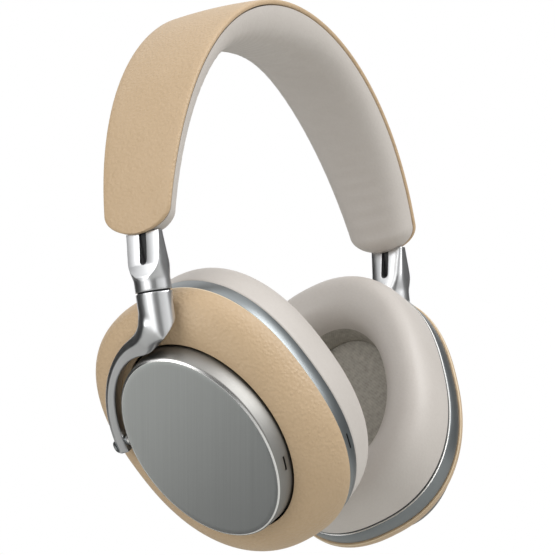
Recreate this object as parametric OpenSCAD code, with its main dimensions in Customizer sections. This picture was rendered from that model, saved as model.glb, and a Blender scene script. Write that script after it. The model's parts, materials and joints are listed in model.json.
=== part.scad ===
// Over-ear headphones: padded headband, two sliding arms, two swivelling yokes and two tilting ear cups.
// The origin is the point under the crown of the headband pad that rests on a head or on a stand.
// +Z is up and -Y is the wearer's front, so the wearer's right cup is at -X.

/* [Headband] */
// Half width of the arch at its springing line, to the edge of the cover
arch_half_w = 88; // [82:1:94]
// Height of the arch above its springing line, to the edge of the cover
arch_rise = 103; // [97:1:109]
// Height of the two ends of the headband above the springing line
band_end_z = 22; // [20:0.5:24]
// Width of the headband at its crown
band_top_w = 33; // [29:0.5:37]
// Width of the headband at its two ends
band_end_w = 24; // [23.5:0.5:27]
// Length of the rounded tip at each end
band_tip = 7.5; // [6:0.5:9]
// Thickness of the leather-covered shell
cover_t = 1.8; // [1.4:0.1:2.2]
// How far the middle of the cover stands above its edges
cover_crown = 0.8; // [0.4:0.1:2]
// Thickness of the headband along its edges
edge_t = 4.6; // [4.2:0.1:5.6]
// Thickness of the pad under the crown of the arch
pad_t = 6; // [4:0.1:7]
// Thickness of the pad along the two sides of the arch
pad_leg_t = 2.6; // [2.4:0.1:3.6]
// Thickness of the pad's sides, round the core
pad_side = 1.2; // [1:0.1:1.4]
// Thickness of the spring steel strip
spring_t = 0.7; // [0.5:0.1:0.9]
// Width of the spring steel strip
spring_w = 14; // [10:0.5:18]

/* [Sliding arms] */
// Width of the flat tang that slides in the headband
tang_w = 7.8; // [7:0.1:8]
// Thickness of the flat tang
tang_t = 2.2; // [1.8:0.1:2.6]
// How far the tang stops short of the top of its guide block
tang_short = 3; // [1:0.5:5]
// Length of each guide block inside the headband
guide_len = 32; // [30:0.5:34]
// Width of each guide block
guide_w = 13; // [12.8:0.1:13.2]
// Thickness of each guide block
guide_t = 4.4; // [4:0.1:4.8]
// Length of the visible arm, from the headband to the swivel
arm_len = 19.8; // [18:0.2:22]
// Lean of the arm, inwards as it goes down
arm_lean = 3; // [1:0.5:5]
// Width of the flat face of the arm
arm_w = 12.4; // [11:0.1:13]
// Diameter of the arm at the swivel
swivel_d = 11.6; // [10.6:0.1:12]
// Diameter of the swivel pin
swivel_pin_d = 5; // [4:0.1:6]
// Width of the slot through the flat of the arm
arm_slot_w = 2.7; // [2:0.1:3.5]
// Length of the slot below the end of the headband
arm_slot_len = 9.5; // [7:0.5:11]

/* [Ear cups] */
// How far each cup's middle lies inside its swivel
cup_in = 40.4; // [39:0.2:42]
// How far each cup's middle lies in front of its swivel
cup_fore = 1.4; // [0:0.2:3]
// How far each cup's middle lies below its swivel
cup_below = 38.8; // [38:0.2:41]
// Tilt of the cups: how far the lower edges come in
cup_tilt = 25.9; // [24:0.1:28]
// Slant of each cup's long axis, top to the rear
cup_slant = 18.4; // [15:0.1:22]
// Half width of the cup ring
cup_a = 36; // [34:0.2:37]
// Half height of the cup ring
cup_b = 48; // [46:0.2:49]
// Squareness of the cup outline, 2 for an ellipse
cup_n = 2.37; // [2:0.01:2.6]
// Height of the ring that joins the cushion and the shell
ring_h = 6.3; // [6:0.1:7]
// Wall of the ring
ring_wall = 2.6; // [2.2:0.1:3]
// Height of the leather-covered shell where it meets the oval plate
shell_top = 20.5; // [19.5:0.1:21]
// Wall of the leather-covered shell
shell_t = 2.2; // [1.6:0.1:2.6]

/* [Oval plates] */
// Half width of the oval plate
plate_a = 24.2; // [23:0.1:25]
// Half height of the oval plate
plate_b = 34; // [32:0.1:35]
// Height of the plate's face above the cushion side of the ring
plate_top = 29; // [27:0.1:31]
// Wall of the plate
plate_wall = 1.8; // [1.4:0.1:2.2]
// Chamfer round the face of the plate
plate_chamfer = 0.9; // [0.5:0.1:1.4]
// How much wider the plate is at its foot
plate_draft = 0.7; // [0.2:0.1:1]

/* [Yokes] */
// Distance from the edge of the plate to the middle of the yoke
yoke_gap = 5; // [4.8:0.1:5.8]
// Gap between the top of the shell and the yoke
yoke_lift = 0.7; // [0.6:0.1:1.2]
// Width of the yoke beside the plate
yoke_w = 4; // [3.8:0.1:4.6]
// Thickness of the yoke beside the plate
yoke_t = 5.2; // [4.8:0.1:5.8]
// Thickness of the yoke's upright, under the swivel
upright_t = 7.2; // [6.6:0.1:7.6]
// Height of the tilt pin above the middle of the cup
pin_y = 13.5; // [12:0.5:15]
// Diameter of the tilt pin
tilt_pin_d = 3; // [2.4:0.1:3.6]

/* [Ear cushions] */
// Thickness of each ear cushion
cushion_t = 18; // [15:0.5:20]
// Half width of the ear opening
well_a = 18.5; // [17:0.5:20]
// Half height of the ear opening
well_b = 28; // [26:0.5:30]

/* [Inside the cups] */
// Diameter of the drive unit
driver_d = 40; // [36:1:44]
// Thickness of the baffle
baffle_t = 1.8; // [1.6:0.1:2]
// Diameter of the magnet
magnet_d = 20; // [16:1:24]
// Thickness of the chassis deck
deck_t = 1.8; // [1.4:0.1:2]
// Diameter of the chassis posts
post_d = 4.4; // [4:0.1:5]
// Thickness of the circuit boards
board_t = 1.2; // [0.8:0.1:1.6]
// Thickness of the battery
battery_t = 4; // [3:0.1:4.6]

/* [Controls] */
// Length of each push button
button_len = 6.5; // [5.5:0.1:7.5]
// Height of each push button
button_h = 3; // [2.4:0.1:3.4]
// How far a button stands out of the ring
button_proud = 1; // [0.7:0.1:1.4]
// Spacing of the push buttons
button_pitch = 9.5; // [9.2:0.1:11]
// Travel of the power slide
slide_travel = 2; // [1.5:0.1:2.5]

/* [Fits] */
// Clearance of running pins and tangs
run_gap = 0.06; // [0.03:0.01:0.09]
// Gap across a pressed pin
press_gap = 0.01; // [0.005:0.005:0.02]
// Gap between pieces that are fixed together
seat_gap = 0.2; // [0.1:0.05:0.3]
// Gap between soft pieces and what they touch
soft_gap = 0.3; // [0.2:0.05:0.4]
// Gap round the base of the oval plate
plate_gap = 0.6; // [0.4:0.1:0.9]

/* [Hidden] */
$fn = 48;

leather = "#cdb08a";
grey_leather = "#c8c2bc";
aluminium = "#c4c5c6";
plate_grey = "#8c8f8e";
ring_grey = "#646a6e";
black = "#26282a";
steel = "#9a9c9e";
mesh_grey = "#7d7870";
board_green = "#2e5a44";

// Sides: the right-hand pieces are drawn and the left-hand ones are mirrored
RIGHT = -1;
LEFT = 1;

// Headband stack, measured inwards from the edge of the cover
// The straight guide blocks sag below the arch by the height of their chord
guide_depth = cover_t + soft_gap + guide_t / 2;
chord_sag = guide_len * guide_len / (4 * (arch_half_w + arch_rise));
core_top = cover_t + spring_t + 2 * seat_gap;
core_bottom = guide_depth + guide_t / 2 + chord_sag + seat_gap;
pad_top = core_bottom + seat_gap;
band_stack = pad_top + pad_t;
spring_z = band_stack - arch_rise;

// Points of the arch: turn is measured from the crown, out is along the outward normal
function arch_normal(turn) =
    let (v = [arch_rise * sin(turn), arch_half_w * cos(turn)]) v / norm(v);
function arch_point(turn, out) =
    [arch_half_w * sin(turn), arch_rise * cos(turn)] + out * arch_normal(turn);
end_turn = acos(band_end_z / arch_rise);

// Half width of the headband, tapering to the ends and rounded off at the tips
tip_least = 0.3;
function band_above(turn) = arch_rise * cos(turn) - band_end_z;
function tip_share(turn) = min(1, max(0, 1 - band_above(turn) / band_tip));
function band_half_w(turn) =
    let (share = max(0, band_above(turn) / (arch_rise - band_end_z)))
    (band_end_w + (band_top_w - band_end_w) * sin(90 * share)) / 2
        * max(tip_least, sqrt(1 - pow(tip_share(turn), 2)));

// Stations along the arch, closer together towards the tips
function stations(count, last) = [for (i = [-count:count]) last * sin(90 * i / count)];
function band_ring(turn, section) =
    [for (p = section) let (q = arch_point(turn, p.y)) [q.x, p.x, q.y + spring_z]];

// Closed skin through rings of points, even in number, whose second half runs back beside the first
// A looped skin joins its last ring to the first, and any other has its two ends closed
module skin(rings, looped = false) {
    n = len(rings[0]);
    m = len(rings);
    sides = [
        for (i = [0:m - (looped ? 1 : 2)], j = [0:n - 1])
            let (a = i * n + j)
            let (b = i * n + (j + 1) % n)
            let (c = ((i + 1) % m) * n + (j + 1) % n)
            let (d = ((i + 1) % m) * n + j)
            each [[a, c, b], [a, d, c]]
    ];
    last = (m - 1) * n;
    caps = looped ? [] : [
        for (j = [0:n / 2 - 2])
            let (k = n - 1 - j)
            each [
                [j, j + 1, k - 1], [j, k - 1, k],
                [last + j, last + k - 1, last + j + 1], [last + j, last + k, last + k - 1]
            ]
    ];
    polyhedron(points = [for (r = rings) each r], faces = concat(sides, caps));
}

// Section of the cover: a crowned sheet with eased edges
edge_ease = 0.5;
cover_steps = 4;
function cover_section(half_w) =
    let (crown = cover_crown * pow(half_w / (band_top_w / 2), 2))
    let (rows = [for (i = [-cover_steps:cover_steps]) (half_w - edge_ease) * i / cover_steps])
    concat(
        [[-half_w, edge_ease - cover_t]],
        [for (y = rows) [y, crown * (1 - pow(y / half_w, 2)) - cover_t]],
        [[half_w, edge_ease - cover_t], [half_w, -edge_ease]],
        [for (i = [len(rows) - 1:-1:0]) [rows[i], crown * (1 - pow(rows[i] / half_w, 2))]],
        [[-half_w, -edge_ease]]
    );

module headband_cover() {
    color(leather)
        skin([for (t = stations(20, end_turn)) band_ring(t, cover_section(band_half_w(t)))]);
}

// Section of a strip between two depths below the edge of the cover
function strip_section(half_top, top, half_bottom, bottom) =
    [[-half_bottom, -bottom], [half_bottom, -bottom], [half_top, -top], [-half_top, -top]];

// The guide blocks lie on a chord of the arch, just inside the cover
guide_above = 5;
guide_foot_turn = acos((band_end_z + guide_above) / arch_rise);
guide_foot = arch_point(guide_foot_turn, -guide_depth);
function guide_head_miss(turn) = norm(arch_point(turn, -guide_depth) - guide_foot) - guide_len;
function find_turn(low, high, steps) =
    steps == 0 ? (low + high) / 2
    : let (mid = (low + high) / 2)
        guide_head_miss(mid) > 0 ? find_turn(mid, high, steps - 1) : find_turn(low, mid, steps - 1);
turn_halvings = 30;
guide_head_turn = find_turn(0, guide_foot_turn, turn_halvings);
guide_head = arch_point(guide_head_turn, -guide_depth);
slide_lean = atan2(guide_foot.x - guide_head.x, guide_head.y - guide_foot.y);
core_turn = guide_head_turn - atan2(guide_t + 1, arch_rise);

module headband_spring() {
    top = cover_t + seat_gap;
    half_w = spring_w / 2;
    color(steel)
        skin([for (t = stations(14, core_turn))
            band_ring(t, strip_section(half_w, top, half_w, top + spring_t))]);
}

// The pad wraps the core: its sides rise to the cover and its channel narrows towards the floor
pad_inset = 0.5;
side_top = cover_t + soft_gap;
floor_share = 0.74;
function channel_half_w(turn, depth) =
    let (top = band_half_w(turn) - pad_inset - pad_side)
    lerp(top, floor_share * top, (depth - side_top) / (pad_top - side_top));
module headband_core() {
    color(black)
        skin([for (t = stations(14, core_turn))
            band_ring(t, strip_section(
                channel_half_w(t, core_top) - soft_gap, core_top,
                channel_half_w(t, core_bottom) - soft_gap, core_bottom
            ))]);
}

// Section of the pad: thin at its edges, crowned in the middle, its sides falling away at the tips
// It swells under the crown of the arch, over swell_turn each way
pad_arc = 8;
pad_crown = 2.5;
tongue_t = 0.8;
swell_turn = 34;
function pad_deep(turn) =
    pad_top + lerp(pad_leg_t, pad_t, pow(cos(90 * min(1, abs(turn) / swell_turn)), 2));
function pad_section(turn) =
    let (w = band_half_w(turn) - pad_inset)
    let (floor_w = channel_half_w(turn, pad_top))
    let (fall = pow(tip_share(turn), 2))
    let (top = lerp(side_top, pad_top - tongue_t / 2, fall))
    let (edge = lerp(edge_t, pad_top + tongue_t, fall))
    let (deep = pad_deep(turn))
    let (across = [for (i = [0:pad_arc]) -cos(180 * i / pad_arc)])
    concat(
        [[-w, -top]],
        [for (y = across) [w * y, -edge - (deep - edge) * (1 - pow(abs(y), pad_crown))]],
        [[w, -top], [w - pad_side, -top]],
        [for (y = across) [-floor_w * y, -pad_top]],
        [[pad_side - w, -top]]
    );

module headband_pad() {
    color(grey_leather)
        skin([for (t = stations(22, end_turn)) band_ring(t, pad_section(t))]);
}

// Frames of the sliding arm: the tang's frame has its origin where the tang leaves the headband
exit_drop = 0.4;
slide_dir = [guide_foot.x - guide_head.x, guide_foot.y - guide_head.y] / guide_len;
arm_exit = guide_foot + slide_dir * ((guide_foot.y - band_end_z - exit_drop) / -slide_dir.y);
exit_to_guide = norm(guide_foot - arm_exit);
tang_len = exit_to_guide + guide_len - tang_short;
arm_y = -1;
swivel_at = arm_exit - arm_len * [sin(arm_lean), cos(arm_lean)];

module on_side(side) {
    if (side == LEFT) mirror([1, 0, 0]) children();
    else children();
}
module tang_frame() {
    translate([-arm_exit.x, arm_y, arm_exit.y + spring_z]) rotate([0, slide_lean, 0]) children();
}
module swivel_frame() {
    translate([-swivel_at.x, arm_y, swivel_at.y + spring_z]) rotate([0, -arm_lean, 0]) children();
}

module slab(size, z) {
    translate([-size.x / 2, -size.y / 2, z]) cube(size);
}

// Screws that clamp the guide blocks, two a side, sunk flush in their outer walls
guide_screw_d = 1.6;
screw_slack = 0.1;
screw_edge = 1.5;
screw_up = guide_len - 6;
module at_guide_screws() {
    for (y = [-1, 1]) translate([0, y * (guide_w / 2 - screw_edge), exit_to_guide + screw_up])
        rotate([0, 90, 0]) children();
}
module slider_guide(side) {
    bore = [tang_t + 2 * run_gap, tang_w + 2 * run_gap, guide_len + 2];
    color(black)
        on_side(side) tang_frame() difference() {
            slab([guide_t, guide_w, guide_len], exit_to_guide);
            slab(bore, exit_to_guide - 1);
            at_guide_screws() cylinder(d = guide_screw_d + screw_slack, h = guide_t + 2, center = true);
        }
}
module guide_screws() {
    color(steel)
        for (side = [LEFT, RIGHT]) on_side(side) tang_frame()
            at_guide_screws() cylinder(d = guide_screw_d, h = guide_t, center = true);
}

// Outline between an ellipse and a rounded rectangle
function rounded_ring(a, b, n, count) = [
    for (i = [0:count - 1])
        let (c = cos(360 * i / count))
        let (s = sin(360 * i / count))
        [a * sign(c) * pow(abs(c), 2 / n), b * sign(s) * pow(abs(s), 2 / n)]
];
function lerp(a, b, f) = a + (b - a) * f;
function ease(f) = f * f * (3 - 2 * f);

// The visible arm grows from a round foot at the swivel to a flat bar under the headband
arm_round = 3.5;
arm_top_t = 3.2;
washer_t = 0.6;
function arm_ring(z) =
    let (f = ease(min(1, max(0, (z - arm_round) / (0.55 * arm_len - arm_round)))))
    let (g = max(0, (z - 0.45 * arm_len) / (0.55 * arm_len)))
    let (half_t = lerp(lerp(swivel_d / 2, 3.1, f), arm_top_t / 2, g))
    let (half_w = lerp(swivel_d / 2, arm_w / 2, f))
    [for (p = rounded_ring(half_t, half_w, lerp(2, 5, f), 28)) [p.x, p.y, z]];

module slider_arm(side) {
    pin_depth = 7;
    tip_cut = arm_slot_len + 1;
    through = 2 * swivel_d;
    color(aluminium)
        on_side(side) difference() {
            union() {
                swivel_frame()
                    skin([for (i = [0:10]) arm_ring(lerp(washer_t / 2, arm_len - exit_drop, i / 10))]);
                tang_frame() slab([tang_t, tang_w, tang_len + 1.5], -1.5);
            }
            swivel_frame() translate([0, 0, -1]) cylinder(d = swivel_pin_d + press_gap, h = pin_depth + 1);
            swivel_frame() translate([0, 0, arm_len - arm_slot_len]) {
                rotate([0, 90, 0]) cylinder(d = arm_slot_w, h = through, center = true);
                slab([through, arm_slot_w, tip_cut], 0);
            }
        }
}

// Dark rail seated in the slot of the arm
rail_t = 1.6;
module slider_rail(side) {
    rail_w = arm_slot_w - 2 * run_gap;
    color(black)
        on_side(side) swivel_frame() translate([0, 0, arm_len - arm_slot_len]) {
            rotate([0, 90, 0]) cylinder(d = rail_w, h = rail_t, center = true);
            slab([rail_t, rail_w, arm_slot_len - exit_drop], 0);
        }
}

pin_below = 6;
module swivel_pin(side) {
    color(steel)
        on_side(side) swivel_frame() translate([0, 0, -pin_below])
            cylinder(d = swivel_pin_d, h = pin_below + 6.5);
}

module swivel_washer(side) {
    color(black)
        on_side(side) swivel_frame() translate([0, 0, -washer_t / 2 + run_gap])
            difference() {
                cylinder(d = swivel_d - 0.8, h = washer_t - 2 * run_gap);
                translate([0, 0, -1]) cylinder(d = swivel_pin_d + 2 * run_gap, h = washer_t + 2);
            }
}

// Frame of the right cup: x to the front, y up its long axis, z outwards from the cushion side of the ring
module cup_frame() {
    translate([cup_in - swivel_at.x, arm_y - cup_fore, swivel_at.y + spring_z - cup_below])
        rotate([0, -cup_tilt, 0]) rotate([90, 0, -90]) rotate([0, 0, cup_slant]) children();
}
tilted_up = [-sin(cup_tilt), 0, cos(cup_tilt)];
cup_front = [0, -cos(cup_slant), 0] + sin(cup_slant) * tilted_up;
cup_up = [0, sin(cup_slant), 0] + cos(cup_slant) * tilted_up;
cup_out = [-cos(cup_tilt), 0, -sin(cup_tilt)];
function in_cup(v) = [v * cup_front, v * cup_up, v * cup_out];
swivel_in_cup = in_cup([-cup_in, cup_fore, cup_below]);
arm_down = in_cup([sin(arm_lean), 0, -cos(arm_lean)]);

// Middle line of the yoke: round the plate from the tilt pin, then through an elbow up to the swivel
yoke_h = shell_top + yoke_lift + yoke_t / 2;
yoke_a = plate_a + yoke_gap;
yoke_b = plate_b + yoke_gap;
pin_turn = asin(pin_y / yoke_b);
yoke_turn = 90;
elbow_in = 9;
elbow_out = 10.5;
function yoke_arc(turn) = [-yoke_a * cos(turn), yoke_b * sin(turn), yoke_h];
function bezier(p, f) =
    pow(1 - f, 3) * p[0] + 3 * f * pow(1 - f, 2) * p[1] + 3 * f * f * (1 - f) * p[2] + pow(f, 3) * p[3];
arc_end = yoke_arc(yoke_turn);
arc_way = [yoke_a * sin(yoke_turn), yoke_b * cos(yoke_turn), 0] / yoke_a;
boss_h = 2.8;
boss_sink = 0.6;
boss_end = swivel_in_cup + arm_down * (washer_t / 2 + boss_sink);
yoke_rise = [arc_end, arc_end + elbow_in * arc_way, boss_end + elbow_out * arm_down, boss_end];
yoke_line = concat(
    [for (i = [0:9]) yoke_arc(lerp(pin_turn, yoke_turn, i / 10))],
    [for (i = [0:10]) bezier(yoke_rise, i / 10)]
);
widen_from = 6;
widen_steps = 12;
deepen_from = 8;
deepen_steps = 8;
round_from = 12;
upright_in = 1.5;
boss_step = 0.4;
function yoke_share(i, from, steps) = ease(min(1, max(0, (i - from) / steps)));

// Ring of the yoke's section, square to its middle line
// The upright is round outside and flat towards the cup
function yoke_ring(i) =
    let (before = yoke_line[max(0, i - 1)])
    let (after = yoke_line[min(len(yoke_line) - 1, i + 1)])
    let (way = i == len(yoke_line) - 1 ? -arm_down : (after - before) / norm(after - before))
    let (flat = cross([0, 0, 1], way))
    let (across = flat / norm(flat))
    let (out = cross(way, across))
    let (f = yoke_share(i, widen_from, widen_steps))
    let (g = yoke_share(i, deepen_from, deepen_steps))
    let (h = yoke_share(i, round_from, len(yoke_line) - 1 - round_from))
    let (half_w = lerp(yoke_w, swivel_d - boss_step, f) / 2)
    let (outer = lerp(yoke_t / 2, upright_t - upright_in, g))
    let (inner = lerp(yoke_t / 2, upright_in, f))
    [for (p = rounded_ring(half_w, 1, lerp(3.4, 2.2, h), 20))
        yoke_line[i] + p.x * across + p.y * (p.y > 0 ? outer : inner) * out];

// The tilt pin lies along the cup's own x axis, behind the plate
pin_x = yoke_a * cos(pin_turn);
module tilt_frame() {
    translate([-pin_x, pin_y, yoke_h]) rotate([0, 90, 0]) children();
}
pin_boss_d = tilt_pin_d + 2.6;
pin_boss_in = 1;

// The round upright runs on into the elbow, where it is cut off on a slant under the yoke's middle line
upright_len = 17.6;
elbow_slant = 20;
module yoke(side) {
    color(aluminium)
        on_side(side) difference() {
            union() {
                cup_frame() skin([for (i = [0:len(yoke_line) - 1]) yoke_ring(i)]);
                cup_frame() tilt_frame() translate([0, 0, -yoke_w / 2])
                    cylinder(d = pin_boss_d, h = yoke_w + pin_boss_in);
                swivel_frame() translate([0, 0, -washer_t / 2 - boss_h]) cylinder(d = swivel_d, h = boss_h);
                intersection() {
                    swivel_frame() translate([0, 0, -upright_len])
                        cylinder(d = swivel_d - boss_step / 2, h = upright_len - washer_t / 2 - boss_sink);
                    cup_frame() translate([0, 0, yoke_h - yoke_t / 2 + boss_step])
                        linear_extrude(yoke_t + upright_t / 2) polygon(outline(0));
                    cup_frame() translate([0, yoke_b, yoke_h]) rotate([elbow_slant, 0, 0])
                        translate([-cup_a, 0, -cup_b]) cube([2 * cup_a, cup_b, 2 * cup_b]);
                }
            }
            swivel_frame() translate([0, 0, -pin_below - 0.5])
                cylinder(d = swivel_pin_d + 2 * run_gap, h = pin_below + 1);
            cup_frame() tilt_frame() cylinder(d = tilt_pin_d + press_gap, h = yoke_w + 6, center = true);
        }
}

// Pin pressed into the yoke and running in the bush of the cup
pin_head = 0.8;
bush_in = 3;
plate_side = plate_a * sqrt(1 - pow(pin_y / plate_b, 2));
bush_end = pin_x - plate_side + bush_in;
module tilt_pin(side) {
    color(steel)
        on_side(side) cup_frame() tilt_frame() {
            translate([0, 0, -yoke_w / 2 - pin_head]) cylinder(d = tilt_pin_d + 1.6, h = pin_head);
            translate([0, 0, -yoke_w / 2]) cylinder(d = tilt_pin_d, h = yoke_w / 2 + bush_end);
        }
}
bush_d = tilt_pin_d + 2;
module tilt_bush(side) {
    start = yoke_w / 2 + pin_boss_in + soft_gap;
    color(aluminium)
        on_side(side) cup_frame() tilt_frame() difference() {
            translate([0, 0, start]) cylinder(d = bush_d, h = bush_end - start);
            cylinder(d = tilt_pin_d + 2 * run_gap, h = bush_end + 1);
        }
}

// Oval plate: a shallow cap with a chamfered face and a slot for its microphone
deck_top = shell_top - shell_t;
plate_foot = deck_top + seat_gap;
oval_count = 72;
function oval(out) = rounded_ring(plate_a + out, plate_b + out, 2, oval_count);
function oval_at(out, z) = [for (p = oval(out)) [p.x, p.y, z]];
module oval_plate(side) {
    slot_turn = -44;
    slot = [plate_b, 4.6, 1];
    color(plate_grey)
        on_side(side) cup_frame() difference() {
            skin([
                oval_at(-plate_wall, plate_top - plate_wall),
                oval_at(plate_draft - plate_wall, plate_foot),
                oval_at(plate_draft, plate_foot),
                oval_at(0, plate_top - plate_chamfer),
                oval_at(-plate_chamfer, plate_top)
            ]);
            tilt_frame() cylinder(d = bush_d + 2 * run_gap, h = bush_end + 1);
            rotate([0, 0, slot_turn]) slab_out(plate_b + 4, slot, (plate_foot + plate_top) / 2);
        }
}

// A bar that starts near the middle and runs out past x, centred at height z
module slab_out(x, size, z) {
    translate([x - size.x, -size.y / 2, z - size.z / 2]) cube(size);
}

// Leather-covered shell: rises from the ring and closes in round the plate
// It is fullest at the upper rear and slopes gently at the lower front
shell_foot = ring_h + seat_gap;
rim_high = 2.7;
rim_low = 0.3;
rim_full = 1.1;
rim_least = 0.4;
bulge_full = 2.8;
bulge_least = 1.35;
fullest_turn = 130;
full_bias = 1.3;
shell_count = 72;
mouth_a = plate_a + plate_draft + plate_gap;
mouth_b = plate_b + plate_draft + plate_gap;
function shell_point(j, f, off) =
    let (way = 360 * j / shell_count)
    let (full = pow((1 + cos(way - fullest_turn)) / 2, full_bias))
    let (bulge = lerp(bulge_least, bulge_full, full))
    let (share = pow(cos(90 * f), 2 / bulge))
    let (rise = pow(sin(90 * f), 2 / bulge))
    let (rim = lerp(rim_least, rim_full, full) - off)
    let (n = lerp(2, cup_n, share))
    let (a = lerp(mouth_a, cup_a + rim, share))
    let (b = lerp(mouth_b, cup_b + rim, share))
    [
        a * sign(cos(way)) * pow(abs(cos(way)), 2 / n),
        b * sign(sin(way)) * pow(abs(sin(way)), 2 / n),
        lerp(shell_foot + lerp(rim_low, rim_high, full), shell_top - off, rise)
    ];
function shell_ring(f, off) = [for (j = [0:shell_count - 1]) shell_point(j, f, off)];
function shell_foot_ring(inset) =
    [for (p = rounded_ring(cup_a - inset, cup_b - inset, cup_n, shell_count)) [p.x, p.y, shell_foot]];
module cup_shell(side) {
    steps = 6;
    rings = concat(
        [shell_foot_ring(0)],
        [for (i = [0:steps]) shell_ring(i / steps, 0)],
        [for (i = [steps:-1:0]) shell_ring(i / steps, shell_t)],
        [shell_foot_ring(shell_t)]
    );
    color(leather)
        on_side(side) cup_frame() skin(rings, looped = true);
}

// Ring between the shell and the cushion, with openings for the controls and a microphone
function outline(inset) = rounded_ring(cup_a - inset, cup_b - inset, cup_n, 96);
ring_mid = ring_h / 2;
control_z = (baffle_t + ring_h) / 2;
power_y = -2 * button_pitch - 1.5;
power_len = 5;
light_y = -3 * button_pitch;
light_d = 1.6;
usb_w = 8.9;
usb_h = 3.2;
usb_depth = 7;
usb_z = baffle_t + seat_gap + usb_h / 2;
module control_slot(y, len, h) {
    translate([-cup_a - 3, y - len / 2, control_z - h / 2]) cube([ring_wall + 8, len, h]);
}
module cup_ring(side) {
    slot_turn = -41;
    slot = [5 * ring_wall, 5, 0.9];
    slack = 2 * seat_gap;
    color(ring_grey)
        on_side(side) cup_frame() difference() {
            linear_extrude(ring_h) polygon(outline(0));
            translate([0, 0, -1]) linear_extrude(ring_h + 2) polygon(outline(ring_wall));
            if (side == RIGHT) {
                rotate([0, 0, slot_turn]) slab_out(cup_b + ring_wall, slot, ring_mid);
                for (i = [-1:1]) control_slot(i * button_pitch, button_len + slack, button_h + slack);
                control_slot(power_y, power_len + slide_travel + slack, button_h + slack);
                translate([-cup_a - 1, light_y, control_z]) rotate([0, 90, 0])
                    cylinder(d = light_d + slack / 2, h = 5 * ring_wall);
                translate([-usb_w / 2 - seat_gap, -cup_b - 2, usb_z - usb_h / 2 - seat_gap])
                    cube([usb_w + slack, ring_wall + 6, usb_h + slack]);
            }
            if (side == LEFT) control_slot(0, button_len + slack, button_h + slack);
        }
}

// Where the outside of the ring lies at a height y on the cup
function ring_x(y) = cup_a * pow(1 - pow(abs(y) / cup_b, cup_n), 1 / cup_n);

// Push button: a cap through the ring with a flange behind it
flange_t = 1;
module push_button(side, y, tint) {
    face = ring_x(abs(y) + button_len / 2) + button_proud;
    back = ring_x(abs(y) + button_len / 2) - ring_wall - 0.8 - flange_t;
    color(tint)
        on_side(side) cup_frame() {
            translate([-face, y - button_len / 2, control_z - button_h / 2])
                cube([face - back - flange_t, button_len, button_h]);
            translate([-back - flange_t, y - button_len / 2 - 0.8, control_z - button_h / 2 - 0.4])
                cube([flange_t, button_len + 1.6, button_h + 0.8]);
        }
}
module volume_up_button() { push_button(RIGHT, button_pitch, ring_grey); }
module play_button() { push_button(RIGHT, 0, ring_grey); }
module volume_down_button() { push_button(RIGHT, -button_pitch, ring_grey); }
module quick_button() { push_button(LEFT, 0, ring_grey); }

// Power slide: rests at the upper end of its slot and slides down the ring
module power_switch() {
    face = ring_x(abs(power_y) + power_len / 2 + slide_travel) + button_proud;
    stem = ring_wall + button_proud + 1.6;
    y = power_y + slide_travel / 2;
    color(ring_grey)
        on_side(RIGHT) cup_frame() {
            translate([-face, y - power_len / 2, control_z - button_h / 2])
                cube([stem, power_len, button_h]);
            translate([stem - face, y - power_len / 2 - 1, control_z - button_h / 2 - 0.4])
                cube([flange_t, power_len + 2, button_h + 0.8]);
        }
}

module status_light() {
    x = ring_x(light_y);
    color("white")
        on_side(RIGHT) cup_frame() translate([-x, light_y, control_z]) rotate([0, 90, 0])
            cylinder(d = light_d, h = ring_wall + 1);
}

// Socket for the charging plug: an oval metal shell with a tongue
module usb_socket() {
    wall = 0.3;
    tongue = [6.6, 4.4, 0.7];
    module oval(w, h, depth) {
        for (x = [-1, 1]) translate([x * (w - h) / 2, 0, 0]) rotate([-90, 0, 0]) cylinder(d = h, h = depth);
        translate([-(w - h) / 2, 0, -h / 2]) cube([w - h, depth, h]);
    }
    color(steel)
        on_side(RIGHT) cup_frame() translate([0, -cup_b + 0.5, usb_z]) {
            difference() {
                oval(usb_w, usb_h, usb_depth);
                translate([0, -1, 0]) oval(usb_w - 2 * wall, usb_h - 2 * wall, usb_depth);
            }
            translate([-tongue.x / 2, usb_depth - 1 - tongue.y, -tongue.z / 2]) cube(tongue);
        }
}

// Baffle that carries the drive unit and closes the cup
post_share = [0.54, 0.68];
post_at = [post_share.x * plate_a, post_share.y * plate_b];
driver_seat = driver_d / 2 - 2;
baffle_inset = ring_wall + seat_gap;
module baffle(side) {
    color(black)
        on_side(side) cup_frame() difference() {
            linear_extrude(baffle_t) polygon(outline(baffle_inset));
            translate([0, 0, -1]) cylinder(r = driver_seat, h = baffle_t + 2);
        }
}

// Chassis: a deck under the plate on four posts
module at_posts() {
    for (x = [-1, 1], y = [-1, 1]) translate([x * post_at.x, y * post_at.y, 0]) children();
}
module chassis(side) {
    deck_foot = deck_top - deck_t;
    color(black)
        on_side(side) cup_frame() difference() {
            union() {
                translate([0, 0, deck_foot]) linear_extrude(deck_t) polygon(oval(0));
                at_posts() translate([0, 0, baffle_t]) cylinder(d = post_d, h = deck_foot - baffle_t + 0.5);
            }
            at_posts() translate([0, 0, deck_top - screw_len - 1])
                cylinder(d = screw_d + screw_slack, h = screw_len + 2);
        }
}
screw_d = 2;
screw_share = 0.38;
screw_len = screw_share * deck_top;
screw_head_d = 3.4;
screw_head_h = 1;
module chassis_screws(side) {
    color(steel)
        on_side(side) cup_frame() at_posts() {
            translate([0, 0, deck_top - screw_len]) cylinder(d = screw_d, h = screw_len);
            translate([0, 0, deck_top]) cylinder(d = screw_head_d, h = screw_head_h);
        }
}

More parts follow.
